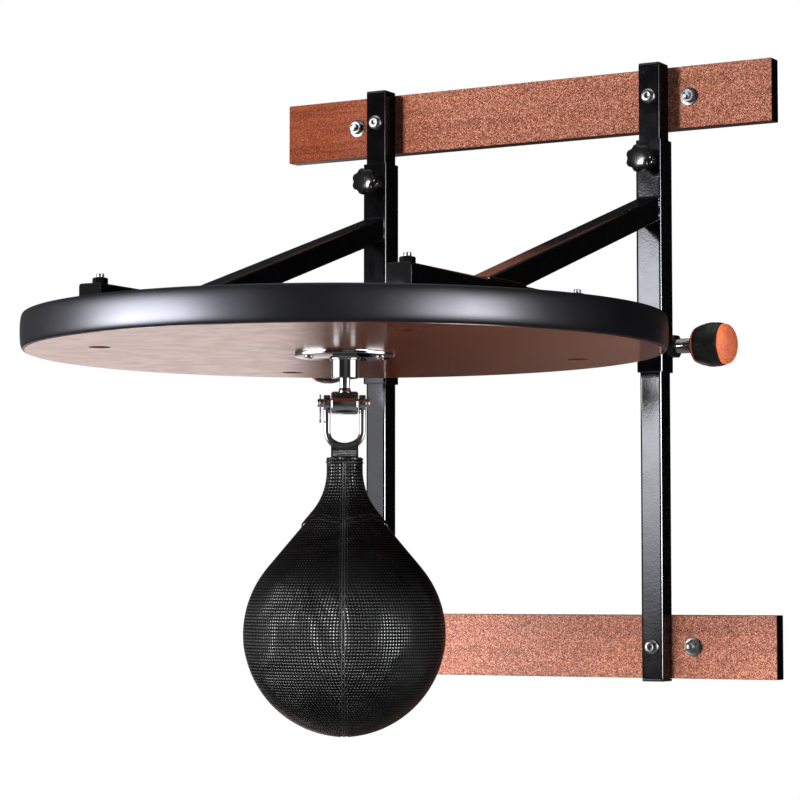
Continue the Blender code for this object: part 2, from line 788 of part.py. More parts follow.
def pull_knob_core(side, axis):
    """The orange core: a recessed ring at the inner end, a neck under the grip and a domed end."""
    bore = BOLT_RADIUS + GAP
    dome = 0.003
    bore_end = PULL_KNOB_END - 0.0115
    profile = [
        (0, bore_end),
        (bore, bore_end),
        (bore, RECESS_END),
        (RECESS_RADIUS, RECESS_END),
        (RECESS_RADIUS, PULL_KNOB_START),
        (PULL_KNOB_END_RADIUS - 0.0015, PULL_KNOB_START),
        (barrel_radius(PULL_KNOB_START + 0.0015), PULL_KNOB_START + 0.0015),
        (barrel_radius(GRIP_START), GRIP_START - GAP),
        (CORE_RADIUS, GRIP_START - GAP),
        (CORE_RADIUS, GRIP_END + GAP),
        (barrel_radius(GRIP_END), GRIP_END + GAP),
        (barrel_radius(PULL_KNOB_END - dome), PULL_KNOB_END - dome - 0.004),
        (PULL_KNOB_END_RADIUS - 0.001, PULL_KNOB_END - dome),
        (PULL_KNOB_END_RADIUS * 0.6, PULL_KNOB_END - dome * 0.25),
        (0, PULL_KNOB_END),
    ]
    return turned(f"{side}_pull_knob", profile[::-1], orange_plastic(), axis, steps=MEDIUM_STEPS)


def pull_pin(side, sign, carriage):
    """The index pin on the sleeve's outer side. Local +Z points outward."""
    where = (sign * (POST_X + SLEEVE / 2), POST_Y, PULL_PIN_Z)
    axis = frame_empty(f"{side}_pin_axis", where, (0, sign * QUARTER, 0), carriage)
    pin_housing(side, axis)
    plunger(side, axis)
    plunger_spring(side, axis)
    pull_grip(side, axis)
    pull_knob_core(side, axis)


def carriage_pieces():
    carriage = frame_empty("carriage", ORIGIN)
    for side, sign in SIDES.items():
        sleeve(side, sign, carriage)
        arm(side, sign, carriage)
        brace(side, sign, carriage)
        knob_nut(side, sign, carriage)
        star_knob(side, sign, carriage)
        pull_pin(side, sign, carriage)
    platform_board(carriage)
    platform_rim(carriage)
    platform_bolts(carriage)
    return carriage


# ---------------------------------------------------------------- swivel and shackle


def swivel_housing(axis):
    """The flange and barrel screwed under the platform, bored from above for the bearing."""
    flange_bottom = -GAP - FLANGE_THICKNESS
    lip_top = BARREL_END_Z + LIP_THICKNESS
    profile = [
        (FLANGE_RADIUS - EDGE, -GAP),
        (FLANGE_RADIUS, -GAP - EDGE),
        (FLANGE_RADIUS, flange_bottom + 0.0010),
        (FLANGE_RADIUS - 0.0010, flange_bottom),
        (COLLAR_RADIUS, flange_bottom),
        (COLLAR_RADIUS, COLLAR_Z),
        (BARREL_RADIUS, COLLAR_Z - EDGE),
        (BARREL_RADIUS, BARREL_END_Z + EDGE),
        (BARREL_RADIUS - EDGE, BARREL_END_Z),
        (LIP_BORE, BARREL_END_Z),
        (LIP_BORE, lip_top),
        (BARREL_BORE, lip_top),
        (BARREL_BORE, -GAP),
    ]
    housing = turned("swivel_housing", profile, chrome(), axis, steps=MEDIUM_STEPS, ring=True)
    for index, where in enumerate(flange_screw_places()):
        radius = FLANGE_SCREW_RADIUS + GAP
        cut(housing, cylinder(f"flange_hole_{index}", radius, THROUGH, None, axis, where))
    return housing


def flange_screw_places():
    """Two screws towards the room and one towards the wall, evenly round the flange."""
    angles = [math.radians(a) for a in (-150, -30, 90)]
    return [(FLANGE_SCREW_CIRCLE * math.cos(a), FLANGE_SCREW_CIRCLE * math.sin(a), 0) for a in angles]


def flange_screws(axis):
    """Pan-headed screws whose shanks stop inside the flange's depth and the board."""
    seat = -GAP - FLANGE_THICKNESS - GAP
    shank_top = -GAP / 2
    profile = [
        (0, shank_top),
        (FLANGE_SCREW_RADIUS, shank_top),
        (FLANGE_SCREW_RADIUS, seat),
        (FLANGE_SCREW_HEAD, seat),
        (FLANGE_SCREW_HEAD, seat - 0.0014),
        (FLANGE_SCREW_HEAD * 0.7, seat - 0.0026),
        (0, seat - 0.0030),
    ]
    for name, where in zip(("left", "right", "rear"), flange_screw_places()):
        turned(f"{name}_flange_screw", profile, chrome(), axis, where)


def swivel_bearing(axis):
    bottom = BARREL_END_Z + LIP_THICKNESS + GAP
    top = bottom + BEARING_HEIGHT
    inner = STEM_RADIUS + 0.0005
    profile = [
        (BEARING_RADIUS, top),
        (BEARING_RADIUS, bottom),
        (inner, bottom),
        (inner, top),
    ]
    return turned("swivel_bearing", profile, zinc_steel(), axis, steps=MEDIUM_STEPS, ring=True)


def swivel_stem(axis):
    """The turning post: its head rides on the bearing and its foot is fixed in the crosshead."""
    head_bottom = BARREL_END_Z + LIP_THICKNESS + BEARING_HEIGHT + 2 * GAP
    foot = PIN_Z + PIN_BORE + 0.0012
    profile = [
        (0, head_bottom + STEM_HEAD_HEIGHT),
        (STEM_HEAD_RADIUS, head_bottom + STEM_HEAD_HEIGHT),
        (STEM_HEAD_RADIUS, head_bottom),
        (STEM_RADIUS, head_bottom),
        (STEM_RADIUS, foot),
        (0, foot),
    ]
    return turned("swivel_stem", profile, chrome(), axis, steps=MEDIUM_STEPS)


def swivel_crosshead(axis):
    """The short cross barrel on the stem that the shackle pin passes through."""
    name = "swivel_crosshead"
    half = CROSSHEAD_LENGTH / 2
    profile = [
        (PIN_BORE, half),
        (CROSSHEAD_RADIUS - CROSSHEAD_CHAMFER, half),
        (CROSSHEAD_RADIUS, half - CROSSHEAD_CHAMFER),
        (CROSSHEAD_RADIUS, -half + CROSSHEAD_CHAMFER),
        (CROSSHEAD_RADIUS - CROSSHEAD_CHAMFER, -half),
        (PIN_BORE, -half),
    ]
    middle = (0, 0, PIN_Z)
    head = turned(name, profile, chrome(), axis, middle, ACROSS, MEDIUM_STEPS, ring=True)
    depth = CROSSHEAD_RADIUS - PIN_BORE - 0.0009
    socket_place = (0, 0, PIN_Z + CROSSHEAD_RADIUS)
    socket = cylinder(
        name + "_socket", STEM_RADIUS + GAP, 2 * depth, None, axis, socket_place, steps=MEDIUM_STEPS
    )
    cut(head, socket)
    return head


def shackle_pin(axis):
    """The headed cross pin, drilled at its plain end for the retaining clip."""
    profile = [
        (0, PIN_HEAD_X + PIN_HEAD_THICKNESS),
        (PIN_HEAD_RADIUS * 0.6, PIN_HEAD_X + PIN_HEAD_THICKNESS * 0.85),
        (PIN_HEAD_RADIUS, PIN_HEAD_X + PIN_HEAD_THICKNESS * 0.4),
        (PIN_HEAD_RADIUS, PIN_HEAD_X),
        (PIN_RADIUS, PIN_HEAD_X),
        (PIN_RADIUS, PIN_END_X + EDGE),
        (PIN_RADIUS - EDGE, PIN_END_X),
        (0, PIN_END_X),
    ]
    pin = turned("shackle_pin", profile, chrome(), axis, (0, 0, PIN_Z), ACROSS, MEDIUM_STEPS)
    hole_place = (CLIP_X, 0, PIN_Z)
    cut(pin, cylinder("shackle_pin_hole", CLIP_WIRE + GAP, THROUGH, None, axis, hole_place))
    return pin


def clip_path():
    """A spring clip: a straight leg down through the pin, a ring, and a bowed leg back up its front."""
    straight = [(0, CLIP_TOP), (0, 0), (0, -CLIP_LEG)]
    ring_centre = (-CLIP_RING, -CLIP_LEG - 0.0006)
    ring = arc(ring_centre, CLIP_RING, -0.1, -math.pi + 0.1, 9)
    front = PIN_RADIUS + CLIP_WIRE + 0.0006
    bow = arc((0, 0), front, math.pi + 0.8, math.pi - 0.8, 7)
    tip = [(bow[-1][0] - 0.0022, bow[-1][1] + 0.0035)]
    return [(0, y, z) for y, z in straight + ring + bow + tip]


def retaining_clip(axis):
    middle = (CLIP_X, 0, PIN_Z)
    return wire("retaining_clip", clip_path(), CLIP_WIRE, spring_steel(), axis, middle, roundness=0)


def shackle(axis):
    """A round-bar U with an eye at each end, hanging on the pin. Its origin is on the pin."""
    bend = arc((0, -SHACKLE_LEG), SHACKLE_HALF, math.pi, 2 * math.pi, 13)
    start_z = PIN_BORE - 2 * PIN_RADIUS - SHACKLE_ROD / 2
    outline = [(-SHACKLE_HALF, start_z)] + bend + [(SHACKLE_HALF, start_z)]
    rod = wire("shackle", [(x, 0, z) for x, z in outline], SHACKLE_ROD, chrome(), axis)
    for side, sign in SIDES.items():
        where = (sign * SHACKLE_HALF, 0, 0)
        name = f"shackle_{side}_eye"
        eye = cylinder(name, EYE_RADIUS, EYE_WIDTH, None, axis, where, ACROSS, MEDIUM_STEPS)
        join(rod, eye)
    bore = cylinder("shackle_bore", PIN_BORE, THROUGH, None, axis, ORIGIN, ACROSS, MEDIUM_STEPS)
    cut(rod, bore)
    return rod


# ---------------------------------------------------------------- bag


def bag_loop(axis):
    """The webbing loop round the shackle's bar, with its two layers sewn into the bag's neck."""
    outer = LOOP_HOLE + LOOP_STRAP
    top = LOOP_HOLE_HALF
    tail = NECK_TOP - 0.0115
    outline = arc((0, top), outer, 0, math.pi, 9)
    outline += [(-outer, -top), (-LOOP_TAIL_HALF, NECK_TOP + 0.0015), (-LOOP_TAIL_HALF, tail)]
    outline += [(LOOP_TAIL_HALF, tail), (LOOP_TAIL_HALF, NECK_TOP + 0.0015), (outer, -top)]
    hole = arc((0, top), LOOP_HOLE, 0, math.pi, 9) + arc((0, -top), LOOP_HOLE, math.pi, 2 * math.pi, 9)
    turn = (QUARTER, 0, QUARTER)
    return plate("bag_loop", [outline, hole], LOOP_WIDTH, black_webbing(), axis, (0, 0, 0), turn)


def bag_side(inset, top_z, arc_points=3, sphere_points=9):
    """(radius, z) points down the bag's side, moved in by inset: neck, shoulder, cone and ball."""
    tangent = QUARTER - SHOULDER_ANGLE
    ball = BAG_RADIUS - inset
    cone_foot = (BAG_RADIUS * math.sin(tangent), BAG_CENTRE_Z + BAG_RADIUS * math.cos(tangent))
    meet_z = cone_foot[1] + (cone_foot[0] - NECK_RADIUS) / math.tan(SHOULDER_ANGLE)
    arc_top = meet_z + NECK_ARC * math.tan(SHOULDER_ANGLE / 2)
    arc_centre = (NECK_RADIUS + NECK_ARC, arc_top)
    shoulder = arc(arc_centre, NECK_ARC + inset, math.pi, math.pi + SHOULDER_ANGLE, arc_points)
    ball_arc = arc((0, BAG_CENTRE_Z), ball, QUARTER - tangent, -QUARTER, sphere_points)
    ball_arc[-1] = (0, ball_arc[-1][1])
    return [(NECK_RADIUS - inset, top_z)] + shoulder + ball_arc


def bag_cover(axis):
    """The stitched shell, open at the neck."""
    outside = bag_side(0, NECK_TOP)
    inside = bag_side(COVER_THICKNESS, NECK_TOP)
    return turned("bag_cover", inside[::-1] + outside, black_leather(), axis, steps=BAG_STEPS)


def bladder(axis):
    """The air bladder inside the cover, open at its valve."""
    outer = COVER_THICKNESS + BLADDER_GAP
    inner = outer + BLADDER_THICKNESS
    neck_top = NECK_TOP - 0.0145
    outside = [(VALVE_RADIUS + 0.001, neck_top)] + bag_side(outer, neck_top - 0.003)
    inside = [(VALVE_RADIUS, neck_top)] + bag_side(inner, neck_top - 0.003 - BLADDER_THICKNESS)
    return turned("bladder", inside[::-1] + outside, bladder_rubber(), axis, steps=BAG_STEPS)


def swivel_and_bag(carriage):
    turn = (0, 0, SWIVEL_TURN)
    swivel_axis = frame_empty("swivel_axis", (0, PLATFORM_Y, UNDERSIDE_Z), turn, carriage)
    swivel_housing(swivel_axis)
    flange_screws(swivel_axis)
    swivel_bearing(swivel_axis)
    swivel_stem(swivel_axis)
    swivel_crosshead(swivel_axis)
    shackle_pin(swivel_axis)
    retaining_clip(swivel_axis)
    pin_axis = frame_empty("pin_axis", (0, 0, PIN_Z), ORIGIN, swivel_axis)
    shackle(pin_axis)
    loop_axis = frame_empty("loop_axis", (0, 0, -LOOP_DROP), ORIGIN, pin_axis)
    bag_loop(loop_axis)
    bag_cover(loop_axis)
    bladder(loop_axis)


clear_scene()
PARTS = new_collection("speed_bag_platform")
CUTTERS = new_collection("cutters")
wall_frame()
swivel_and_bag(carriage_pieces())
bpy.context.view_layer.update()
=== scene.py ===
"""Finished look of the wall-mounted speed bag platform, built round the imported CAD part.

The wall is the plane y = 0 with the room on the -Y side, X runs along the wall and Z is up.
"""

import json
import math

import bmesh
import bpy
import numpy as np
from mathutils import Matrix, Vector

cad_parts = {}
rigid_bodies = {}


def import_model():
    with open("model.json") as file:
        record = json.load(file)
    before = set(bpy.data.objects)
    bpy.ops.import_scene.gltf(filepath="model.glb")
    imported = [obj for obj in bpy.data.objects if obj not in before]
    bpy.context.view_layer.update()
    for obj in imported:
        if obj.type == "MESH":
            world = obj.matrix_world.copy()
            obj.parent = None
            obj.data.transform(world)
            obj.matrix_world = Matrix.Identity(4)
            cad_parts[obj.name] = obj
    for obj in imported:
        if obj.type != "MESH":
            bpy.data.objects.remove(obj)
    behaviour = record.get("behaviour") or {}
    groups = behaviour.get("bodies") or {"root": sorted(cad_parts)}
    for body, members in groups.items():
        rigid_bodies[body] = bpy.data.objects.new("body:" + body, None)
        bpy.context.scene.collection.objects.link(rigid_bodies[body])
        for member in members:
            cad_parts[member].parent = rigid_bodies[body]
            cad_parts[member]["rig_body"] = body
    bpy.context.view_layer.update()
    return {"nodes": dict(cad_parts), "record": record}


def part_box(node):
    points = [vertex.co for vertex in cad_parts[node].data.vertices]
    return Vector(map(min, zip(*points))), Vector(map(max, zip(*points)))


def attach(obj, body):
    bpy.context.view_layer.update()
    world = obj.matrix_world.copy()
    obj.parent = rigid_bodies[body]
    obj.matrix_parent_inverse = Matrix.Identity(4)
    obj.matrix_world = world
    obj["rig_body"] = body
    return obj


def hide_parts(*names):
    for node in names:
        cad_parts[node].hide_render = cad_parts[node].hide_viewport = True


FULL = 2 * math.pi
QUARTER = math.pi / 2
FACE_ROOM = Matrix.Rotation(QUARTER, 4, "X")  # local +Z towards the room
FACE_DOWN = Matrix.Rotation(math.pi, 4, "X")
UPRIGHT = Matrix.Identity(4)
SIDES = {"left": -1, "right": 1}

# sizes of the details, metres
TUBE = 0.025
TUBE_WALL = 0.0015
TUBE_CORNER = 0.0025
SLEEVE = 0.030
SLEEVE_WALL = 0.002
SLEEVE_CORNER = 0.003
HEAD_RADIUS = 0.008
HEAD_HEIGHT = 0.0045
BOLT_RADIUS = 0.004
BOLT_PITCH = 0.00125
NUT_ACROSS = 0.013
NUT_HEIGHT = 0.0065
STUD_END = 0.004
WASHER_RADIUS = 0.010
WASHER_THICKNESS = 0.0018
RIM_WIDTH = 0.010
COUNTERBORE_RADIUS = 0.0105
COUNTERBORE_DEPTH = 0.008
INDEX_PITCH = 0.040
INDEX_COUNT = 7
EMBOSS_PITCH = 0.0031
WARP_PITCH = 0.0016
WEFT_PITCH = 0.0011
WELD_RADIUS = 0.0019
FLAT_MARGIN = 0.0003  # flat kept beside each round corner of a tube
SWIVEL_TURN = math.radians(30)
PIN_DROP = 0.049  # cross pin below the platform
LOOP_DROP = 0.0416  # loop pivot below the cross pin

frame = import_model()
NODES = frame["nodes"]
SLOTS = {part["node"]: part["material_slot"] for part in frame["record"]["subparts"]}

# ---------------------------------------------------------------- shader building


class Graph:
    """Builds the nodes of a tree. A value may be a number, a colour or another node's output."""

    def __init__(self, tree):
        self.tree = tree

    @classmethod
    def look(cls, name):
        """The graph of a new material."""
        material = bpy.data.materials.new(name)
        material.use_nodes = True
        graph = cls(material.node_tree)
        graph.material = material
        graph.shader = graph.tree.nodes["Principled BSDF"]
        graph.place = graph.node("TexCoord", "Object")
        graph.facing = graph.node("TexCoord", "Normal")
        return graph

    def node(self, kind, output=0, inputs=None, **settings):
        made = self.tree.nodes.new("ShaderNode" + kind)
        for key, value in settings.items():
            setattr(made, key, value)
        for key, value in (inputs or {}).items():
            self.feed(made.inputs[key], value)
        return made.outputs[output]

    def feed(self, socket, value):
        if isinstance(value, bpy.types.NodeSocket):
            self.tree.links.new(value, socket)
        elif isinstance(value, tuple) and len(value) == 3 and len(socket.default_value) == 4:
            socket.default_value = (*value, 1)
        else:
            socket.default_value = value

    def math(self, operation, first, second=0.0):
        return self.node("Math", inputs={0: first, 1: second}, operation=operation)

    def product(self, first, *others):
        for other in others:
            first = self.math("MULTIPLY", first, other)
        return first

    def mix(self, share, first, second):
        inputs = {0: share, 6: first, 7: second}
        return self.node("Mix", 2, inputs, data_type="RGBA", clamp_factor=True)

    def blend(self, share, first, second):
        return self.node("Mix", 0, {0: share, 2: first, 3: second}, data_type="FLOAT")

    def scaled(self, factors, turn=(0, 0, 0), source=None):
        inputs = {"Vector": source or self.place, "Scale": factors, "Rotation": turn}
        return self.node("Mapping", inputs=inputs)

    def noise(self, scale, detail=2.0, roughness=0.5, source=None, distortion=0.0):
        names = ("Vector", "Scale", "Detail", "Roughness", "Distortion")
        values = (source or self.place, scale, detail, roughness, distortion)
        return self.node("TexNoise", inputs=dict(zip(names, values)))

    def range(self, value, low, high, to_low=0.0, to_high=1.0, smooth=True):
        inputs = {"Value": value, "From Min": low, "From Max": high, "To Min": to_low, "To Max": to_high}
        kind = "SMOOTHSTEP" if smooth else "LINEAR"
        return self.node("MapRange", inputs=inputs, interpolation_type=kind)

    def radius(self, x, y):
        return self.math("SQRT", self.math("ADD", self.product(x, x), self.product(y, y)))

    def split(self, vector):
        made = self.tree.nodes.new("ShaderNodeSeparateXYZ")
        self.tree.links.new(vector, made.inputs[0])
        return made.outputs

    def bump(self, height, distance, strength=1.0, normal=None):
        inputs = {"Height": height, "Distance": distance, "Strength": strength}
        if normal:
            inputs["Normal"] = normal
        return self.node("Bump", inputs=inputs)

    def finish(self, base, rough, normal=None, **inputs):
        """Feeds the surface. Further inputs are named with _ for each space."""
        inputs.update(Base_Color=base, Roughness=rough)
        if normal:
            inputs["Normal"] = normal
        for key, value in inputs.items():
            self.feed(self.shader.inputs[key.replace("_", " ")], value)
        return self.material


def wood_laminate():
    """Reddish laminate with black edge banding. Its pebbled face has painted highlights and painted
    shade as light and dark specks, and painted shade on its left end, with fewer light specks there.
    """
    g = Graph.look("wall_board_laminate")
    grain = g.noise(1.0, 6.0, 0.62, g.scaled((5, 1, 170)), 0.4)
    bands = g.noise(1.0, 3.0, 0.5, g.scaled((1.6, 1, 26)), 0.7)
    pebbles = g.noise(1.0, 2.0, 0.55, g.scaled((1000, 950, 1450)))
    flecks = g.noise(1.0, 3.0, 0.7, g.scaled((120, 1, 900)))
    base = g.mix(g.range(bands, 0.3, 0.72), (0.46, 0.155, 0.095), (0.36, 0.105, 0.062))
    base = g.mix(g.range(grain, 0.40, 0.70, 0, 0.75), base, (0.19, 0.052, 0.030))
    base = g.mix(g.range(flecks, 0.58, 0.70, 0, 0.6), base, (0.085, 0.022, 0.015))
    # painted shade: the left end of each board is darkened and turned more orange
    painted_left_shade = g.range(g.split(g.place)[0], -0.06, -0.26)
    # painted highlights and painted shade: light specks on the pebble tops, dark specks in their
    # hollows, fewer at the left end
    painted_sparkle_share = g.blend(painted_left_shade, 0.88, 0.40)
    base = g.mix(g.range(pebbles, 0.515, 0.62, 0, painted_sparkle_share), base, (0.92, 0.45, 0.32))
    base = g.mix(g.range(pebbles, 0.50, 0.40, 0, painted_sparkle_share), base, (0.10, 0.025, 0.012))
    # painted shade multiplied over the left end of the board
    inputs = {0: painted_left_shade, 6: base, 7: (0.64, 0.44, 0.31)}
    base = g.node("Mix", 2, inputs, data_type="RGBA", blend_type="MULTIPLY")
    side = g.range(g.math("ABSOLUTE", g.split(g.facing)[1]), 0.55, 0.75)
    base = g.mix(side, (0.003, 0.003, 0.0035), base)
    height = g.math("ADD", pebbles, g.product(grain, 0.5))
    normal = g.bump(height, 0.0010, g.product(side, 0.7))
    rough = g.blend(side, 0.30, g.range(pebbles, 0.35, 0.7, 0.52, 0.36))
    shine = g.blend(side, 0.06, 0.4)
    return g.finish(base, rough, normal, Specular_IOR_Level=shine)


def platform_laminate():
    """Smooth brown laminate under lacquer, with faint grain."""
    g = Graph.look("platform_board_laminate")
    grain = g.noise(1.0, 6.0, 0.6, g.scaled((4, 60, 1)), 0.5)
    bands = g.noise(1.0, 3.0, 0.5, g.scaled((1.2, 9, 1)), 0.8)
    base = g.mix(g.range(bands, 0.3, 0.7), (0.180, 0.041, 0.016), (0.150, 0.033, 0.012))
    base = g.mix(g.range(grain, 0.45, 0.8, 0, 0.3), base, (0.095, 0.021, 0.009))
    haze = g.noise(38.0, 3.0, 0.6)
    rough = g.range(haze, 0.3, 0.75, 0.155, 0.215)
    normal = g.bump(g.noise(420.0, 2.0), 0.0004, 0.06)
    return g.finish(base, rough, normal, Specular_IOR_Level=0.55)


def powder_coat():
    """Gloss black powder coat with a slight orange peel. Faces along the wall shine less."""
    g = Graph.look("black_powder_coat")
    peel = g.noise(520.0, 2.0, 0.5)
    waves = g.noise(70.0, 2.0, 0.5)
    dust = g.noise(2600.0, 1.0, 0.5)
    tint = g.mix(g.range(waves, 0.35, 0.7), (0.0022, 0.0022, 0.0026), (0.0042, 0.0040, 0.0044))
    base = g.mix(g.range(dust, 0.70, 0.80, 0, 0.5), tint, (0.06, 0.06, 0.06))
    rough = g.range(waves, 0.3, 0.75, 0.085, 0.13)
    normal = g.bump(peel, 0.0005, 0.07, g.bump(waves, 0.0008, 0.03))
    sideways = g.math("ABSOLUTE", g.split(g.facing)[0])
    shine = g.range(sideways, 0.90, 0.99, 0.6, 0.10)
    blue = (0.90, 0.91, 1.0)
    return g.finish(base, rough, normal, Specular_IOR_Level=shine, Specular_Tint=blue)


def bright_metal(name, colour, rough_low, rough_high, scratch, shade, painted_underside_shade=1.0):
    """Bare or plated metal: fine turning marks, a little clouding, and painted shade on the faces that
    point down.
    """
    g = Graph.look(name)
    clouds = g.noise(210.0, 4.0, 0.6)
    marks = g.noise(1.0, 2.0, 0.5, g.scaled((350, 350, 2600)))
    base = g.mix(g.range(clouds, 0.3, 0.75), colour, tuple(shade * c for c in colour))
    # painted shade: faces that point down take the colour times the underside factor
    down = g.range(g.split(g.facing)[2], -0.80, -0.97)
    base = g.mix(down, base, tuple(painted_underside_shade * c for c in colour))
    rough = g.range(clouds, 0.3, 0.75, rough_low, rough_high)
    normal = g.bump(marks, 0.00005, scratch)
    return g.finish(base, rough, normal, Metallic=1.0)


def mottled(name, skin, clouds, tones, rough, relief, **inputs):
    """Two tones blended by clouds, under a finer skin that sets the relief.

    skin and clouds are noises, tones is low, high and the two colours, rough is the noise that
    drives the roughness with its low, high and two values, relief is the bump's depth and strength.
    """
    g = Graph.look(name)
    noises = {"skin": g.noise(*skin)}
    noises["clouds"] = g.noise(*clouds) if clouds else noises["skin"]
    low, high, *colours = tones
    base = g.mix(g.range(noises["clouds"], low, high), *colours)
    if isinstance(rough, tuple):
        rough = g.range(noises[rough[0]], *rough[1:])
    normal = g.bump(noises["skin"], *relief) if relief else None
    return g.finish(base, rough, normal, **inputs)


def rim_band():
    """Smooth satin black edge band."""
    tones = (0.35, 0.7, (0.0022, 0.0022, 0.0030), (0.0040, 0.0038, 0.0048))
    rough = ("clouds", 0.3, 0.75, 0.34, 0.38)
    shine = {"Specular_IOR_Level": 0.66, "Specular_Tint": (0.84, 0.85, 1.0)}
    return mottled("rim_band", (900.0, 2.0), (16.0, 3.0), tones, rough, (0.0003, 0.06), **shine)


def moulded(name, colour, dark, rough_low, rough_high, grain, depth):
    """Moulded plastic with a fine spark texture."""
    tones = (0.3, 0.75, colour, dark)
    rough = ("skin", 0.3, 0.7, rough_low, rough_high)
    return mottled(name, (grain, 3.0, 0.6), (60.0, 3.0), tones, rough, (depth, 0.35))


def foam_orange():
    """Pitted orange foam rubber."""
    g = Graph.look("orange_foam_rubber")
    cells = g.node("TexVoronoi", 0, {"Vector": g.place, "Scale": 900.0})
    spots = g.noise(500.0, 3.0, 0.6)
    clouds = g.noise(70.0, 2.0, 0.5)
    base = g.mix(g.range(clouds, 0.3, 0.7), (0.90, 0.20, 0.050), (0.80, 0.15, 0.070))
    base = g.mix(g.range(spots, 0.56, 0.70, 0, 0.6), base, (0.45, 0.075, 0.035))
    normal = g.bump(g.math("ADD", cells, spots), 0.0008, 0.4)
    return g.finish(base, 0.62, normal)


def embossed_leather():
    """Black leather embossed with a square grid of fine domes in each of the bag's four panels."""
    g = Graph.look("bag_leather")
    wave = FULL / EMBOSS_PITCH
    x, y, _ = g.split(g.place)
    turned_by = g.math("ADD", g.math("ARCTAN2", y, x), 4 * math.pi)
    panel = g.math("SUBTRACT", g.math("MODULO", turned_by, QUARTER), QUARTER / 2)
    across = g.product(panel, g.radius(x, y), wave)
    down = g.product(g.node("Attribute", "Fac", attribute_name="meridian"), wave)
    dots = g.math("ADD", g.math("COSINE", across), g.math("COSINE", down))
    domes = g.range(dots, -0.1, 1.6)
    skin = g.noise(1400.0, 3.0, 0.6)
    clouds = g.noise(22.0, 3.0, 0.6)
    base = g.mix(domes, (0.0012, 0.0012, 0.0014), (0.0052, 0.0050, 0.0054))
    rough = g.blend(domes, 0.50, g.range(clouds, 0.3, 0.7, 0.20, 0.27))
    grazing = g.range(g.node("LayerWeight", 1, {"Blend": 0.5}), 0.80, 1.0, 1.0, 0.25)
    shine = g.blend(domes, 0.02, g.product(grazing, g.range(clouds, 0.35, 0.65, 0.38, 0.5)))
    shine = g.product(shine, g.range(g.split(g.facing)[2], 0.15, 0.60, 1.0, 0.30))
    height = g.math("ADD", domes, g.product(skin, 0.12))
    dents = g.bump(g.noise(13.0, 2.0, 0.5, distortion=0.8), 0.014, 0.9)
    normal = g.bump(height, 0.00038, 1.0, dents)
    return g.finish(base, rough, normal, Specular_IOR_Level=shine)


def plain_leather():
    """The same hide without the emboss, for the seam welts and the top band."""
    tones = (0.3, 0.7, (0.0030, 0.0030, 0.0034), (0.0060, 0.0058, 0.0062))
    rough = ("skin", 0.3, 0.7, 0.36, 0.52)
    skin, clouds = (900.0, 4.0, 0.65), (90.0, 3.0, 0.6)
    look = mottled("bag_leather_plain", skin, clouds, tones, rough, (0.0005, 0.5))
    g = Graph(look.node_tree)
    shine = g.range(g.node("LayerWeight", 1, {"Blend": 0.5}), 0.75, 1.0, 0.20, 0.02)
    g.feed(g.tree.nodes["Principled BSDF"].inputs["Specular IOR Level"], shine)
    return look


def webbing():
    """Woven black strap: ribs across the strap broken by the warp."""
    g = Graph.look("webbing")
    x, _, z = g.split(g.place)
    warp = g.math("SINE", g.product(x, FULL / WARP_PITCH))
    weft = g.math("SINE", g.product(g.math("ADD", z, g.product(warp, 0.0003)), FULL / WEFT_PITCH))
    weave = g.product(warp, weft)
    fuzz = g.noise(1800.0, 3.0, 0.7)
    base = g.mix(g.range(weave, -0.6, 0.9), (0.0025, 0.0025, 0.003), (0.012, 0.012, 0.013))
    base = g.mix(g.range(fuzz, 0.56, 0.68, 0, 0.7), base, (0.11, 0.11, 0.115))
    normal = g.bump(g.math("ADD", weave, fuzz), 0.0005, 0.9)
    return g.finish(base, 0.62, normal, Specular_IOR_Level=0.25)


def sewing_thread(name, dark, pale):
    tones = (0.3, 0.7, (dark, dark, dark), (pale, pale, 1.04 * pale))
    relief = (0.0002, 0.5)
    return mottled(name, (2400.0, 2.0), None, tones, 0.6, relief, Specular_IOR_Level=0.12)


def latex():
    tones = (0.3, 0.7, (0.20, 0.15, 0.11), (0.14, 0.10, 0.075))
    rough = ("skin", 0.3, 0.7, 0.45, 0.6)
    return mottled("bladder_latex", (300.0, 3.0, 0.6), None, tones, rough, None)


CHROME = (0.80, 0.80, 0.815)
LOOKS = {
    "board_laminate": wood_laminate(),
    "platform_laminate": platform_laminate(),
    "rim_rubber": rim_band(),
    "black_steel": powder_coat(),
    "zinc_hardware": bright_metal("zinc_plate", (0.74, 0.75, 0.77), 0.20, 0.32, 0.35, 0.82),
    # the last number paints shade on chrome faces that point down
    "chrome": bright_metal("chrome_plate", CHROME, 0.05, 0.09, 0.10, 0.95, 0.16),
    "spring_steel": bright_metal("spring_steel", (0.52, 0.52, 0.55), 0.16, 0.28, 0.2, 0.8),
    "black_plastic": moulded(
        "black_plastic", (0.0095, 0.0095, 0.010), (0.0065, 0.0065, 0.007), 0.26, 0.40, 1300.0, 0.0002
    ),
    "gloss_black_plastic": moulded(
        "gloss_black_plastic", (0.0085, 0.0085, 0.009), (0.006, 0.006, 0.0065), 0.17, 0.24, 700.0, 0.0001
    ),
    "orange_plastic": foam_orange(),
    "bag_leather": embossed_leather(),
    "bag_webbing": webbing(),
    "bladder_rubber": latex(),
}
PLAIN_LEATHER = plain_leather()
THREAD = sewing_thread("black_thread", 0.010, 0.030)
PALE_THREAD = sewing_thread("grey_thread", 0.20, 0.42)

# ---------------------------------------------------------------- mesh building


def solid(name, vertices, faces, look, smooth=35):
    """A mesh object with outward faces, shaded smooth below the stated angle."""
    mesh = bpy.data.meshes.new(name)
    mesh.from_pydata([tuple(v) for v in vertices], [], faces)
    bm = bmesh.new()
    bm.from_mesh(mesh)
    bmesh.ops.recalc_face_normals(bm, faces=bm.faces)
    return from_bmesh(name, bm, look, smooth, mesh)


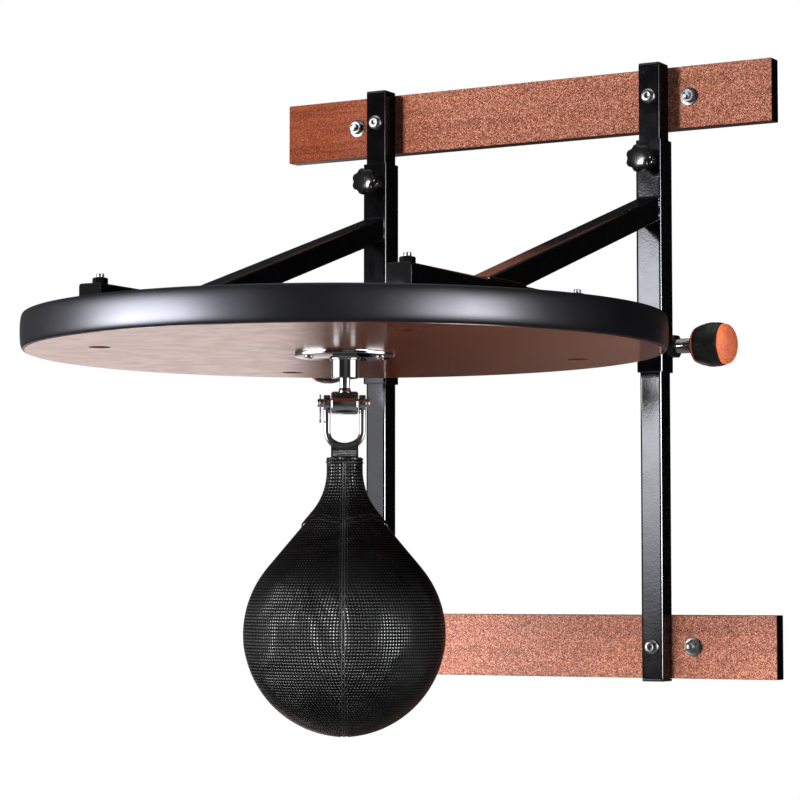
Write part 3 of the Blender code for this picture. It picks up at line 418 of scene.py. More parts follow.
def from_bmesh(name, bm, look, smooth, mesh=None):
    mesh = mesh or bpy.data.meshes.new(name)
    bm.to_mesh(mesh)
    bm.free()
    mesh.shade_smooth()
    mesh.set_sharp_from_angle(angle=math.radians(smooth))
    mesh.materials.append(look)
    obj = bpy.data.objects.new(name, mesh)
    bpy.context.scene.collection.objects.link(obj)
    return obj


def loft(name, rings, look, caps=True, loop=False, smooth=35):
    """A skin over rings of points. A ring of one point closes the skin to a pole."""
    vertices = [point for points in rings for point in points]
    return solid(name, vertices, faces_over(rings, caps, loop), look, smooth)


def faces_over(rings, caps=True, loop=False, first=0):
    """The faces between rings whose points are numbered on from first."""
    starts, faces = [], []
    for points in rings:
        starts.append(first)
        first += len(points)
    pairs = list(zip(range(len(rings) - 1), range(1, len(rings))))
    if loop:
        pairs.append((len(rings) - 1, 0))
    for lower, upper in pairs:
        below, above = len(rings[lower]), len(rings[upper])
        count = max(below, above)
        for step in range(count):
            after = (step + 1) % count
            face = [
                starts[lower] + step % below,
                starts[lower] + after % below,
                starts[upper] + after % above,
                starts[upper] + step % above,
            ]
            faces.append([v for i, v in enumerate(face) if v not in face[:i]])
    if caps and not loop:
        for end in (0, -1):
            count = len(rings[end])
            if count > 1:
                faces.append([starts[end] + step for step in range(count)])
    return faces


def polar(radius, angle, *height):
    return (radius * math.cos(angle), radius * math.sin(angle), *height)


def circle(radius, steps):
    return [polar(radius, FULL * k / steps) for k in range(steps)]


def round_ring(radius, z, steps, shape=None):
    """Points round local Z. A shape turns (angle, radius) into the radius there."""
    if radius == 0:
        return [(0, 0, z)]
    points = []
    for step in range(steps):
        angle = FULL * step / steps
        points.append(polar(shape(angle, radius) if shape else radius, angle, z))
    return points


def turned(name, profile, look, steps=64, loop=False, smooth=35):
    """A solid of revolution: its profile is (radius, z) points, each with an optional shape."""
    rings = [round_ring(p[0], p[1], steps, p[2] if len(p) > 2 else None) for p in profile]
    return loft(name, rings, look, True, loop, smooth)


def hexagon(across):
    """A shape whose radius is the smaller of the ring's own and a hexagon's of that width."""

    def shape(angle, radius):
        off = (angle + math.pi / 6) % (math.pi / 3) - math.pi / 6
        return min(radius, across / 2 / math.cos(off))

    return shape


def thread(start, end, look, name, radius=BOLT_RADIUS, pitch=BOLT_PITCH, steps=32, per_turn=6):
    """A threaded rod with chamfered ends."""
    depth = 0.54 * pitch
    count = max(4, int((end - start) / pitch * per_turn))
    rings = [[(0, 0, start)]]
    for level in range(count + 1):
        z = start + (end - start) * level / count
        limit = radius - depth * 0.8 + min(z - start, end - z, depth)
        points = []
        for step in range(steps):
            angle = FULL * step / steps
            turn = (z / pitch - angle / FULL) % 1
            crest = radius - depth * (1 - abs(2 * turn - 1)) ** 0.8
            points.append(polar(min(limit, crest), angle, z))
        rings.append(points)
    rings.append([(0, 0, end)])
    return loft(name, rings, look, smooth=60)


def nut_profile(across, height, bore, z=0.0):
    """Profile of a chamfered nut that stands on z, for a closed turned ring."""
    shape = hexagon(across)
    inner, corner = across / 2 * 0.97, across / math.sqrt(3)
    levels = [k / 5 for k in range(6)]
    rise = (corner - inner) * 0.55
    profile = [(inner + (corner - inner) * k, z + rise * k, shape) for k in levels]
    profile += [(inner + (corner - inner) * k, z + height - rise * k, shape) for k in levels[::-1]]
    lead = 0.0006
    profile += [(bore + lead, z + height), (bore, z + height - lead)]
    return profile + [(bore, z + lead), (bore + lead, z)]


def button_head(name, look, radius=HEAD_RADIUS, height=HEAD_HEIGHT, socket=0.005):
    """A domed head with a hexagon socket, standing on local z = 0."""
    hexa = hexagon(socket)
    corner = socket / math.sqrt(3)
    profile = [(0, 0), (radius - 0.0003, 0), (radius, 0.0003), (radius, 0.0009)]
    rim = 0.0009
    flat = radius * 0.46
    for step in range(1, 9):
        turn = QUARTER * step / 8
        profile.append((flat + (radius - flat) * math.cos(turn), rim + (height - rim) * math.sin(turn)))
    profile += [(corner * 1.08, height), (corner, height - 0.0002, hexa)]
    profile += [(corner, height - 0.0024, hexa), (0, height - 0.0030)]
    return turned(name, profile, look, 48, smooth=30)


def rounded_square(side, corner, count=6):
    """A square's outline with round corners, and a point just past each arc to keep the sides flat."""
    inset = side / 2 - corner
    points = []
    for quarter in range(4):
        start = quarter * QUARTER
        centre_x = inset if quarter in (0, 3) else -inset
        centre_y = inset if quarter in (0, 1) else -inset
        for step in range(-1, count + 1):
            angle = start + QUARTER * min(max(step, 0), count - 1) / (count - 1)
            along = FLAT_MARGIN * ((step == count) - (step == -1))
            x = centre_x + corner * math.cos(angle) - along * math.sin(angle)
            y = centre_y + corner * math.sin(angle) + along * math.cos(angle)
            points.append((x, y))
    return points


def square_tube(name, side, corner, wall, start, end, look):
    """An open square tube along local Z with softened end arrises."""
    soft = 0.0003

    def ring(z, inset, inner=False):
        if inner:
            outline = rounded_square(side - 2 * wall + 2 * inset, corner - wall * 0.6)
        else:
            outline = rounded_square(side - 2 * inset, corner - inset)
        return [(x, y, z) for x, y in outline]

    levels = [(start, soft), (start + soft, 0), (end - soft, 0), (end, soft)]
    rings = [ring(z, inset) for z, inset in levels]
    rings += [ring(z, inset, True) for z, inset in levels[::-1]]
    return loft(name, rings, look, loop=True)


def swept(name, path, across, look, section, closed=False, smooth=35):
    """A section carried along a path in the plane whose normal is across.

    The section is a list of points, or a function from the step along the path to that list.
    """
    across = Vector(across).normalized()
    path = [Vector(p) for p in path]
    rings = []
    for step, point in enumerate(path):
        before = path[step - 1] if step or closed else path[0]
        after = path[(step + 1) % len(path)] if step + 1 < len(path) or closed else path[-1]
        tangent = (after - before).normalized()
        out = tangent.cross(across)
        outline = section(step) if callable(section) else section
        rings.append([tuple(point + across * a + out * b) for a, b in outline])
    return loft(name, rings, look, loop=closed, smooth=smooth)


def boolean(obj, cutters, operation="DIFFERENCE"):
    """Applies exact booleans and removes the cutters."""
    for cutter in cutters:
        made = obj.modifiers.new("cut", "BOOLEAN")
        made.operation = operation
        made.object = cutter
    bake_modifiers(obj)
    for cutter in cutters:
        bpy.data.objects.remove(cutter, do_unlink=True)
    obj.data.shade_smooth()
    obj.data.set_sharp_from_angle(angle=math.radians(30))


def bake_modifiers(obj):
    bpy.context.view_layer.update()
    evaluated = obj.evaluated_get(bpy.context.evaluated_depsgraph_get())
    mesh = bpy.data.meshes.new_from_object(evaluated)
    obj.modifiers.clear()
    obj.data = mesh


def stand_for(obj, nodes, matrix=UPRIGHT):
    """Places a piece, lets it move like the CAD nodes it stands for, and hides those nodes."""
    obj.matrix_world = matrix
    nodes = [nodes] if isinstance(nodes, str) else nodes
    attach(obj, NODES[nodes[0]]["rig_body"])
    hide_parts(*nodes)
    return obj


def revolve(node, ending, profile, place, steps=64, loop=False, smooth=35, slot=None):
    """A turned piece that stands for a CAD node or for a part of one."""
    look = LOOKS[slot or SLOTS[node]]
    stand_for(turned(node + ending, profile, look, steps, loop, smooth), node, place)


def look_of(node):
    return LOOKS[SLOTS[node]]


def middle(node):
    low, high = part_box(node)
    return (low + high) / 2


def at(x, y, z, turn=UPRIGHT):
    return Matrix.Translation((x, y, z)) @ turn


# ---------------------------------------------------------------- wall frame


def build_board(node):
    low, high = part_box(node)
    rounding = 0.0012
    bm = bmesh.new()
    bmesh.ops.create_cube(bm, size=1)
    bmesh.ops.scale(bm, vec=tuple(high - low), verts=bm.verts)
    settings = {"offset": rounding, "segments": 3, "profile": 0.6, "affect": "EDGES"}
    bmesh.ops.bevel(bm, geom=bm.edges[:], **settings)
    panel = from_bmesh(node + "_panel", bm, look_of(node), 40)
    stand_for(panel, node, at(*middle(node)))


def end_cap(node, direction):
    """A pushed-in plastic cap with a crowned face and a moulded step round its edge."""
    low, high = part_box(node)
    plate = 0.0025
    centre = (low + high) / 2
    out = Vector(direction)
    face = centre + out * abs((high - centre).dot(out))
    levels = [(0, 0.0002), (0.0003, 0), (0.0012, 0), (0.0019, 0.0003), (0.0023, 0.0009), (plate, 0.0022)]
    rings = []
    for z, inset in levels:
        outline = rounded_square(TUBE - 2 * inset, max(TUBE_CORNER - inset, 0.0006))
        rings.append([(x, y, z) for x, y in outline])
    rings.append([(0, 0, plate)])
    obj = loft(node + "_cap", rings, look_of(node), smooth=30)
    turn = out.to_track_quat("Z", "Y").to_matrix().to_4x4()
    stand_for(obj, node, Matrix.Translation(face - out * plate) @ turn)


def build_post(side, sign):
    node = f"{side}_post"
    low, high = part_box(node)
    centre = middle(node)
    tube = square_tube(node + "_tube", TUBE, TUBE_CORNER, TUBE_WALL, low.z, high.z, look_of(node))
    tube.location = (centre.x, centre.y, 0)
    pin = middle(f"{side}_pin_housing")
    cutters = []
    for index in range(INDEX_COUNT):
        hole = turned("hole", [(0, -0.006), (0.0045, -0.006), (0.0045, 0.006), (0, 0.006)], None, 32)
        turn = Matrix.Rotation(QUARTER, 4, "Y")
        hole.matrix_world = at(centre.x + sign * TUBE / 2, centre.y, pin.z - index * INDEX_PITCH, turn)
        cutters.append(hole)
    boolean(tube, cutters)
    stand_for(tube, node, at(centre.x, centre.y, 0))
    end_cap(f"{side}_post_top_cap", (0, 0, 1))
    end_cap(f"{side}_post_bottom_cap", (0, 0, -1))


def on_board(node, height):
    """The seat of a fastener that stands out from a wall board by its height."""
    return at(middle(node).x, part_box(node)[0].y + height, middle(node).z, FACE_ROOM)


def build_wall_fasteners():
    for level in ("upper", "lower"):
        for side in SIDES:
            node = f"{level}_{side}_post_bolt"
            stand_for(button_head(node + "_head", look_of(node)), node, on_board(node, HEAD_HEIGHT))
            node = f"{level}_{side}_wall_bolt"
            top = WASHER_THICKNESS + NUT_HEIGHT + STUD_END
            place = on_board(node, top)
            edge, bore, outer, thick = 0.0004, 0.0043, WASHER_RADIUS, WASHER_THICKNESS
            ring = [(bore, 0), (outer - edge, 0), (outer, edge), (outer, thick - edge)]
            ring += [(outer - 2 * edge, thick), (bore + edge, thick), (bore, thick - edge)]
            revolve(node, "_washer", ring, place, loop=True)
            nut = nut_profile(NUT_ACROSS, NUT_HEIGHT, 0.0037, WASHER_THICKNESS)
            revolve(node, "_nut", nut, place, 72, True, 25)
            stand_for(thread(0.0005, top, look_of(node), node + "_stud"), node, place)


# ---------------------------------------------------------------- carriage


def weld_bead(name, path, normal):
    """A rippled bead laid round a closed joint of the carriage."""
    points = []
    for first, second in zip(path, path[1:] + path[:1]):
        first, second = Vector(first), Vector(second)
        count = max(1, int((second - first).length / 0.0009))
        points += [first.lerp(second, k / count) for k in range(count)]

    def section(step):
        size = WELD_RADIUS * (0.86 + 0.14 * abs(math.sin(step * 1.05)) + 0.07 * math.sin(step * 0.37))
        return circle(size, 10)

    obj = swept(name, points, normal, LOOKS["black_steel"], section, closed=True, smooth=60)
    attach(obj, "carriage")


def build_sleeve(side):
    node = f"{side}_sleeve"
    low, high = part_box(node)
    centre = middle(node)
    obj = square_tube(node + "_tube", SLEEVE, SLEEVE_CORNER, SLEEVE_WALL, low.z, high.z, look_of(node))
    stand_for(obj, node, at(centre.x, centre.y, 0))


def build_arm(side):
    node = f"{side}_arm"
    low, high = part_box(node)
    x = middle(node).x
    bottom = low.z
    z = bottom + TUBE / 2
    obj = square_tube(node + "_tube", TUBE, TUBE_CORNER, TUBE_WALL, 0, high.y - low.y, look_of(node))
    stand_for(obj, node, at(x, high.y, z, FACE_ROOM))
    for row in ("rear", "front"):
        bolt = f"{row}_{side}_platform_bolt"
        place = middle(bolt)
        profile = nut_profile(NUT_ACROSS, NUT_HEIGHT, 0.0038)
        revolve(node, f"_{row}_nut", profile, at(x, place.y, bottom + TUBE), 72, True, 25)
        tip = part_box(bolt)[1].z
        shank = thread(bottom - 0.001, tip, look_of(bolt), bolt + "_shank")
        stand_for(shank, bolt, at(x, place.y, 0))
        head = button_head(bolt + "_head", look_of(bolt))
        stand_for(head, bolt, at(x, place.y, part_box(bolt)[0].z + HEAD_HEIGHT, FACE_DOWN))
    end_cap(f"{side}_arm_end_cap", (0, -1, 0))
    half = TUBE / 2 - 0.001
    corners = [(x - half, high.y, z - half), (x + half, high.y, z - half)]
    corners += [(x + half, high.y, z + half), (x - half, high.y, z + half)]
    weld_bead(f"{side}_arm_weld", corners, (0, 1, 0))


def build_brace(side):
    """A sloping tube cut upright at the sleeve and level at the arm, with a bead round each end."""
    node = f"{side}_brace"
    low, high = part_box(node)
    x = middle(node).x
    sleeve_y = high.y
    arm_z = low.z
    reach, rise = high.y - low.y, high.z - low.z
    slope = math.atan2(rise, reach)
    along = Vector((0, -math.cos(slope), -math.sin(slope)))
    up = Vector((0, -math.sin(slope), math.cos(slope)))
    top = Vector((x, sleeve_y, high.z))
    axis = top - up * (TUBE / 2)

    def cut_ring(outline, at_sleeve):
        ring = []
        for a, b in outline:
            start = axis + Vector((a, 0, 0)) + up * b
            shift = (sleeve_y - start.y) / along.y if at_sleeve else (arm_z - start.z) / along.z
            ring.append(tuple(start + along * shift))
        return ring

    outer = rounded_square(TUBE, TUBE_CORNER)
    inner = rounded_square(TUBE - 2 * TUBE_WALL, TUBE_CORNER - TUBE_WALL * 0.6)
    rings = [cut_ring(outer, True), cut_ring(outer, False)]
    rings += [cut_ring(inner, False), cut_ring(inner, True)]
    stand_for(loft(node + "_tube", rings, look_of(node), loop=True), node)
    inset = rounded_square(TUBE - 0.0012, TUBE_CORNER, 3)
    weld_bead(f"{node}_upper_weld", cut_ring(inset, True), (0, 1, 0))
    weld_bead(f"{node}_lower_weld", cut_ring(inset, False), (0, 0, 1))


def star(angle, radius):
    """Seven rounded lobes with hollows between them."""
    return radius * (1 - 0.16 * (0.5 - 0.5 * math.cos(7 * angle)) ** 1.5)


def build_star_knob(side):
    node = f"{side}_knob_nut"
    low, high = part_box(node)
    centre = middle(node)
    front = high.y + 0.0003
    place = at(centre.x, front, centre.z, FACE_ROOM)
    nut = nut_profile(NUT_ACROSS, NUT_HEIGHT, 0.0042, 0.0003)
    revolve(node, "_hexagon", nut, place, 72, True, 25)
    stud = f"{side}_knob_stud"
    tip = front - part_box(stud)[1].y
    stand_for(thread(tip, 0.023, look_of(stud), stud + "_thread"), stud, place)
    knob = f"{side}_star_knob"
    low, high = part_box(knob)
    back, face = front - high.y, front - low.y
    full = 0.0150
    profile = [(BOLT_RADIUS + 0.0004, back + 0.0008), (0.0078, back), (0.0086, back + 0.0004)]
    profile += [(0.0090, back + 0.0026), (0.0104, back + 0.0034, star)]
    for step in range(5):
        turn = QUARTER * step / 4
        reach = full - 0.0022 * (1 - math.sin(turn))
        profile.append((reach, back + 0.0038 + 0.0024 * (1 - math.cos(turn)), star))
    crown_base = back + 0.0095
    profile.append((full, crown_base, star))
    for step in range(1, 10):
        turn = QUARTER * step / 10
        reach = full * math.cos(turn) ** 0.80

        def fading(angle, radius, share=min(1, step / 7)):
            return star(angle, radius) * (1 - share) + radius * share * 0.95

        height = crown_base + (face - crown_base) * math.sin(turn) ** 1.05
        profile.append((reach, height, fading))
    profile.append((0, face))
    revolve(knob, "_body", profile, place, 112, smooth=50)


def build_pull_pin(side, sign):
    """Hexagon, threaded barrel, and black grip with an orange core."""
    housing = f"{side}_pin_housing"
    low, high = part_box(housing)
    centre = middle(housing)
    origin = low.x if sign > 0 else high.x
    turn = Matrix.Rotation(sign * QUARTER, 4, "Y")
    place = at(origin - sign * 0.0003, centre.y, centre.z, turn)
    hexa = nut_profile(0.023, 0.011, 0.0079, 0.0005)
    revolve(housing, "_hexagon", hexa, place, 96, True, 25, "black_steel")
    barrel = thread(0.0115, 0.029, look_of(housing), housing + "_thread", 0.008, 0.0015, 48)
    stand_for(barrel, housing, place)
    grip = f"{side}_pull_grip"
    core = f"{side}_pull_knob"
    start, end = 0.0305, 0.0765

    def girth(z):
        share = (z - (start + end) / 2) / ((end - start) / 2)
        return 0.0235 - 0.0066 * share**2

    inner = 0.0113
    band = [(inner, 0.0350), (girth(0.0350) - 0.0006, 0.0350), (girth(0.0355), 0.0355)]
    for step in range(1, 14):
        z = 0.0355 + 0.028 * step / 14
        dip = 0.00055 if step in (4, 10) else 0
        band.append((girth(z) - dip, z))
    band += [(girth(0.0635), 0.0635), (girth(0.0640) - 0.0006, 0.0640), (inner, 0.0640)]
    revolve(grip, "_band", band, place, 96, True, 30)
    collar = [(0.0086, start), (0.0140, start), (0.0152, start + 0.0004), (0.0162, start + 0.0018)]
    collar += [(0.0086, start + 0.0018)]
    revolve(core, "_collar", collar, place, 96, True, slot="black_plastic")
    ring = [(0.0086, start + 0.0018), (girth(start + 0.0020) - 0.0008, start + 0.0018)]
    ring += [(girth(start + 0.0024) - 0.0001, start + 0.0024), (girth(0.0344) - 0.0001, 0.0344)]
    ring += [(0.0110, 0.0347), (0.0110, 0.0350), (0.0086, 0.0350)]
    revolve(core, "_ring", ring, place, 96, True)
    dome = [(0.0110, 0.0640), (girth(0.0643) - 0.0004, 0.0643), (girth(0.0648) - 0.0002, 0.0650)]
    base_z, base_r = 0.0660, girth(0.0660) - 0.0003
    for step in range(1, 14):
        angle = QUARTER * step / 14
        dome.append((base_r * math.cos(angle), base_z + (end - base_z) * math.sin(angle)))
    dome.append((0, end))
    revolve(core, "_dome", dome, place, 96, smooth=45)


def build_platform():
    node = "platform_board"
    low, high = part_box(node)
    centre = middle(node)
    rim_low, rim_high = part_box("platform_rim")
    radius = (rim_high.x - rim_low.x) / 2
    board_radius = radius - RIM_WIDTH
    half = (high.z - low.z) / 2
    soft = 0.0002
    lap = 0.0005  # the laminate sheet under the board reaches over the edge band
    steps = 256
    sheet = radius - 0.0046
    profile = [(0, -half - lap), (sheet - soft, -half - lap), (sheet, -half - lap + soft)]
    profile += [(sheet, -half), (board_radius, -half + soft), (board_radius, half), (0, half)]
    board = turned(node + "_disc", profile, look_of(node), steps)
    board.location = centre
    cutters = []
    for side in SIDES:
        for row in ("rear", "front"):
            place = middle(f"{row}_{side}_platform_bolt")
            lip, depth = COUNTERBORE_RADIUS + 0.0004, COUNTERBORE_DEPTH
            profile = [(0, -0.01), (lip, -0.01), (lip, -lap)]
            profile += [(COUNTERBORE_RADIUS, 0.0), (COUNTERBORE_RADIUS, depth), (0, depth)]
            bore = turned("bore", profile, None, 64)
            bore.location = (place.x, place.y, low.z)
            cutters.append(bore)
    boolean(board, cutters)
    stand_for(board, node, at(*centre))
    inner = board_radius + 0.0002
    profile = [(inner, half)]
    crown = 15
    face = radius - 0.0042
    for step in range(crown + 1):
        turn = QUARTER * (1 - step / crown)
        z = half * math.sin(turn) ** 0.86 if turn > 0 else 0
        profile.append((face + 0.0042 * math.cos(turn) ** 0.62 if step else face, z))
    profile += [(r, -z) for r, z in profile[::-1][1:]]
    revolve("platform_rim", "_band", profile, at(*centre), steps, True, 50)


# ---------------------------------------------------------------- swivel and shackle


def build_swivel():
    centre = middle("platform_rim")
    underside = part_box("platform_board")[0].z
    swivel = at(centre.x, centre.y, underside, Matrix.Rotation(SWIVEL_TURN, 4, "Z"))
    top, flange = -0.0003, -0.0043
    profile = [(0.0486, top), (0.0490, top - 0.0004), (0.0490, flange + 0.0009)]
    profile += [(0.0487, flange + 0.0003), (0.0480, flange), (0.0164, flange)]
    profile += [(0.0156, flange - 0.0003), (0.0152, flange - 0.0010), (0.0148, flange - 0.0018)]
    profile += [(0.0148, -0.0068), (0.0144, -0.0072), (0.0134, -0.0074), (0.0132, -0.0080)]
    profile += [(0.0132, -0.0240), (0.0129, -0.0247), (0.0122, -0.0250), (0.0062, -0.0250)]
    profile += [(0.0056, -0.0244), (0.0056, -0.0210), (0.0105, -0.0210), (0.0105, top)]
    revolve("swivel_housing", "_body", profile, swivel, 128, True, 32)
    for node in ("left_flange_screw", "right_flange_screw", "rear_flange_screw"):
        place = middle(node)
        seat = underside + flange - 0.0003
        head = [(0, 0), (0.0043, 0), (0.0045, 0.0003), (0.0045, 0.0010)]
        for step in range(1, 7):
            angle = QUARTER * step / 7
            head.append((0.0045 * math.cos(angle), 0.0010 + 0.0020 * math.sin(angle)))
        head.append((0, 0.0030))
        screw = turned(node + "_head", head, look_of(node), 40)
        cutters = []
        for turn in (0, QUARTER):
            outline = ((-0.0022, -0.0004), (0.0022, -0.0004), (0.0022, 0.0004), (-0.0022, 0.0004))
            bar = loft("bar", [[(x, y, z) for x, y in outline] for z in (0.0016, 0.005)], None)
            bar.rotation_euler.z = turn + 0.5
            cutters.append(bar)
        boolean(screw, cutters)
        stand_for(screw, node, at(place.x, place.y, seat, FACE_DOWN))
    stem = [(0, -0.0100), (0.0052, -0.0100), (0.0052, -0.0290), (0.0049, -0.0300), (0.0049, -0.0345)]
    stem += [(0.0056, -0.0352), (0.0062, -0.0372), (0.0062, -0.0390), (0, -0.0390)]
    revolve("swivel_stem", "_post", stem, swivel, smooth=40)
    across = Matrix.Rotation(QUARTER, 4, "Y")
    pin_place = swivel @ Matrix.Translation((0, 0, -PIN_DROP))
    half, radius, cut, bore = 0.0132, 0.0112, 0.0015, 0.0042
    head = [(bore + 0.0004, half), (radius - cut, half)]
    head += [(radius - 0.0001, half - cut), (radius, half - cut - 0.0004)]
    head += [(r, -z) for r, z in head[::-1]]
    head += [(bore, -half + 0.0004), (bore, half - 0.0004)]
    revolve("swivel_crosshead", "_barrel", head, pin_place @ across, 96, True, 25)
    pin = [(0, -0.0265), (0.0034, -0.0265), (0.0040, -0.0259), (0.0040, 0.0212)]
    pin += [(0.0058, 0.0212), (0.0062, 0.0216), (0.0062, 0.0228), (0.0057, 0.0240)]
    pin += [(0.0046, 0.0249), (0.0028, 0.0253), (0, 0.0254)]
    revolve("shackle_pin", "_body", pin, pin_place @ across, 56)
    build_clip(pin_place)
    build_shackle(pin_place)
    return pin_place


def build_clip(pin_place):
    """A spring clip through the pin's plain end: straight leg, ring, and a bowed leg up the front."""
    leg, ring, wire = 0.0150, 0.0034, 0.0008
    path = [(0, 0.0075), (0, 0.004), (0, 0), (0, -0.008), (0, -leg)]
    for step in range(13):
        angle = -0.1 + (-math.pi + 0.2) * step / 12
        path.append((-ring + ring * math.cos(angle), -leg - 0.0006 + ring * math.sin(angle)))
    front = 0.0040 + wire + 0.0006
    for step in range(11):
        angle = math.pi + 0.8 - 1.6 * step / 10
        path.append(polar(front, angle))
    path.append((path[-1][0] - 0.0022, path[-1][1] + 0.0035))
    points = [(0, y, z) for y, z in path]
    wire_look = LOOKS["spring_steel"]
    obj = swept("retaining_clip_wire", points, (1, 0, 0), wire_look, circle(wire, 12), smooth=60)
    stand_for(obj, "retaining_clip", pin_place @ Matrix.Translation((-0.0238, 0, 0)))


def build_shackle(pin_place):
    """A round bar bent to a U, its ends forged into eyes."""
    half, leg, rod = BOW_RADIUS, 0.027, 0.00315
    path = [(-half, -0.0050), (-half, -0.0120), (-half, -0.0190)]
    for step in range(25):
        angle = math.pi * (1 + step / 24)
        path.append((half * math.cos(angle), -leg + half * math.sin(angle)))
    path += [(half, -0.0190), (half, -0.0120), (half, -0.0050)]
    sizes = {0: 1.18, 1: 1.04, len(path) - 2: 1.04, len(path) - 1: 1.18}

    def section(step):
        return circle(rod * sizes.get(step, 1), 24)

    points = [(x, 0, z) for x, z in path]
    body = swept("shackle_body", points, (0, 1, 0), LOOKS["chrome"], section, smooth=50)
    eyes = []
    for sign in SIDES.values():
        width, outer, edge = 0.0033, 0.0078, 0.0009
        profile = [(0, -width), (outer - edge, -width)]
        profile += [(outer - edge * 0.3, -width + edge * 0.4), (outer, -width + edge)]
        profile += [(r, -z) for r, z in profile[::-1]]
        eye = turned("eye", profile, LOOKS["chrome"], 64)
        eye.matrix_world = Matrix.Translation((sign * half, 0, 0)) @ Matrix.Rotation(QUARTER, 4, "Y")
        eyes.append(eye)
    boolean(body, eyes, "UNION")
    bore = turned("bore", [(0, -0.05), (0.0042, -0.05), (0.0042, 0.05), (0, 0.05)], None, 48)
    bore.matrix_world = Matrix.Rotation(QUARTER, 4, "Y")
    boolean(body, [bore])
    stand_for(body, "shackle", pin_place)


# ---------------------------------------------------------------- bag

NECK_TOP = -0.0124
NECK_RADIUS = 0.0165
NECK_ARC = 0.060
SHOULDER_ANGLE = math.radians(40)
BAG_RADIUS = 0.100
BAG_CENTRE_Z = -0.1834
LAP_END_Z = -0.074
SEAMS = [quarter * QUARTER for quarter in range(4)]
FOLD_SHIFT = 0.0010  # each folded edge from the middle of its seam
FOLD_RADIUS = 0.00065
ROW_SHIFT = 0.0034  # each row of stitches from the middle of its seam
LAP_LIFT = 0.0012  # the second layer of hide stands this far off the first
BOW_RADIUS = 0.0172  # of the shackle, to the middle of its bar
CLOTH_FRAMES = 20
HIDE_CLOTH = {
    "quality": 6,
    "mass": 0.25,
    "tension_stiffness": 14,
    "compression_stiffness": 14,
    "bending_stiffness": 0.6,
    "use_pressure": True,
    "uniform_pressure_force": 4.0,
    "vertex_group_mass": "held",
    "pin_stiffness": 0.8,
}


def bag_profile():
    """(radius, z) points down the bag's side: neck, hollow shoulder, cone and ball."""
    tangent = QUARTER - SHOULDER_ANGLE
    foot = (BAG_RADIUS * math.sin(tangent), BAG_CENTRE_Z + BAG_RADIUS * math.cos(tangent))
    meet_z = foot[1] + (foot[0] - NECK_RADIUS) / math.tan(SHOULDER_ANGLE)
    arc_top = meet_z + NECK_ARC * math.tan(SHOULDER_ANGLE / 2)
    points = [(NECK_RADIUS, NECK_TOP + (arc_top - NECK_TOP) * k / 4) for k in range(4)]
    for step in range(13):
        angle = math.pi + SHOULDER_ANGLE * step / 12
        reach = NECK_RADIUS + NECK_ARC + NECK_ARC * math.cos(angle)
        points.append((reach, arc_top + NECK_ARC * math.sin(angle)))
    start, end = np.array(points[-1]), np.array(foot)
    points += [tuple(start + (end - start) * k / 4) for k in range(1, 4)]
    for step in range(41):
        angle = SHOULDER_ANGLE - (SHOULDER_ANGLE + QUARTER) * step / 40
        points.append((BAG_RADIUS * math.cos(angle), BAG_CENTRE_Z + BAG_RADIUS * math.sin(angle)))
    points[-1] = (0.0, points[-1][1])
    return points


PROFILE = bag_profile()
LEVELS = np.array([z for _, z in PROFILE])[::-1]
RADII = np.array([r for r, _ in PROFILE])[::-1]
STEPS = np.hypot(np.diff(RADII), np.diff(LEVELS))
RUN = np.concatenate([[0], np.cumsum(STEPS)])


def side_radius(z):
    return float(np.interp(z, LEVELS, RADII))


def side_point(run):
    """The radius and z at a way down the bag's side."""
    return float(np.interp(run, RUN, RADII)), float(np.interp(run, RUN, LEVELS))


def positions(obj):
    return np.array([v.co for v in obj.data.vertices], float)


def store_run(obj, shift=0.0):
    """Stores the way down the bag's side, which the emboss follows."""
    attribute = obj.data.attributes.new("meridian", "FLOAT", "POINT")
    run = np.interp(positions(obj)[:, 2], LEVELS, RUN) + shift
    attribute.data.foreach_set("value", run.astype(np.float32))


def neck_folds(angle, z):
    """Soft folds that run down the neck."""
    zone = np.exp(-(((z + 0.052) / 0.026) ** 2))
    return 0.0009 * zone * np.cos(8 * angle + 0.6) * (0.6 + 0.4 * np.sin(3 * angle + 1))


def inflate(obj, limit):
    """Blows the skin up from inside, then keeps every point within the limit of where it began."""
    remesh = obj.modifiers.new("remesh", "REMESH")
    remesh.mode = "VOXEL"
    remesh.voxel_size = 0.0045
    bake_modifiers(obj)
    rest = positions(obj)
    held = obj.vertex_groups.new(name="held")
    for vertex in obj.data.vertices:
        angle = math.atan2(vertex.co.y, vertex.co.x)
        near = min(abs((angle - seam + math.pi) % FULL - math.pi) for seam in SEAMS)
        if vertex.co.z > -0.060:
            held.add([vertex.index], 1.0, "REPLACE")
        elif near * vertex.co.xy.length < 0.0028:
            held.add([vertex.index], 0.6, "REPLACE")
    cloth = obj.modifiers.new("cloth", "CLOTH")
    for key, value in HIDE_CLOTH.items():
        setattr(cloth.settings, key, value)
    cloth.settings.effector_weights.gravity = 0
    cloth.collision_settings.use_collision = False
    cloth.point_cache.frame_start = 1
    cloth.point_cache.frame_end = CLOTH_FRAMES
    for step in range(1, CLOTH_FRAMES + 1):
        bpy.context.scene.frame_set(step)
    bake_modifiers(obj)
    shift = positions(obj) - rest
    length = np.linalg.norm(shift, axis=1)
    share = np.minimum(1, limit / np.maximum(length, 1e-9))
    obj.data.vertices.foreach_set("co", (rest + shift * share[:, None]).astype(np.float32).ravel())
    obj.data.update()
    bpy.context.scene.frame_set(1)


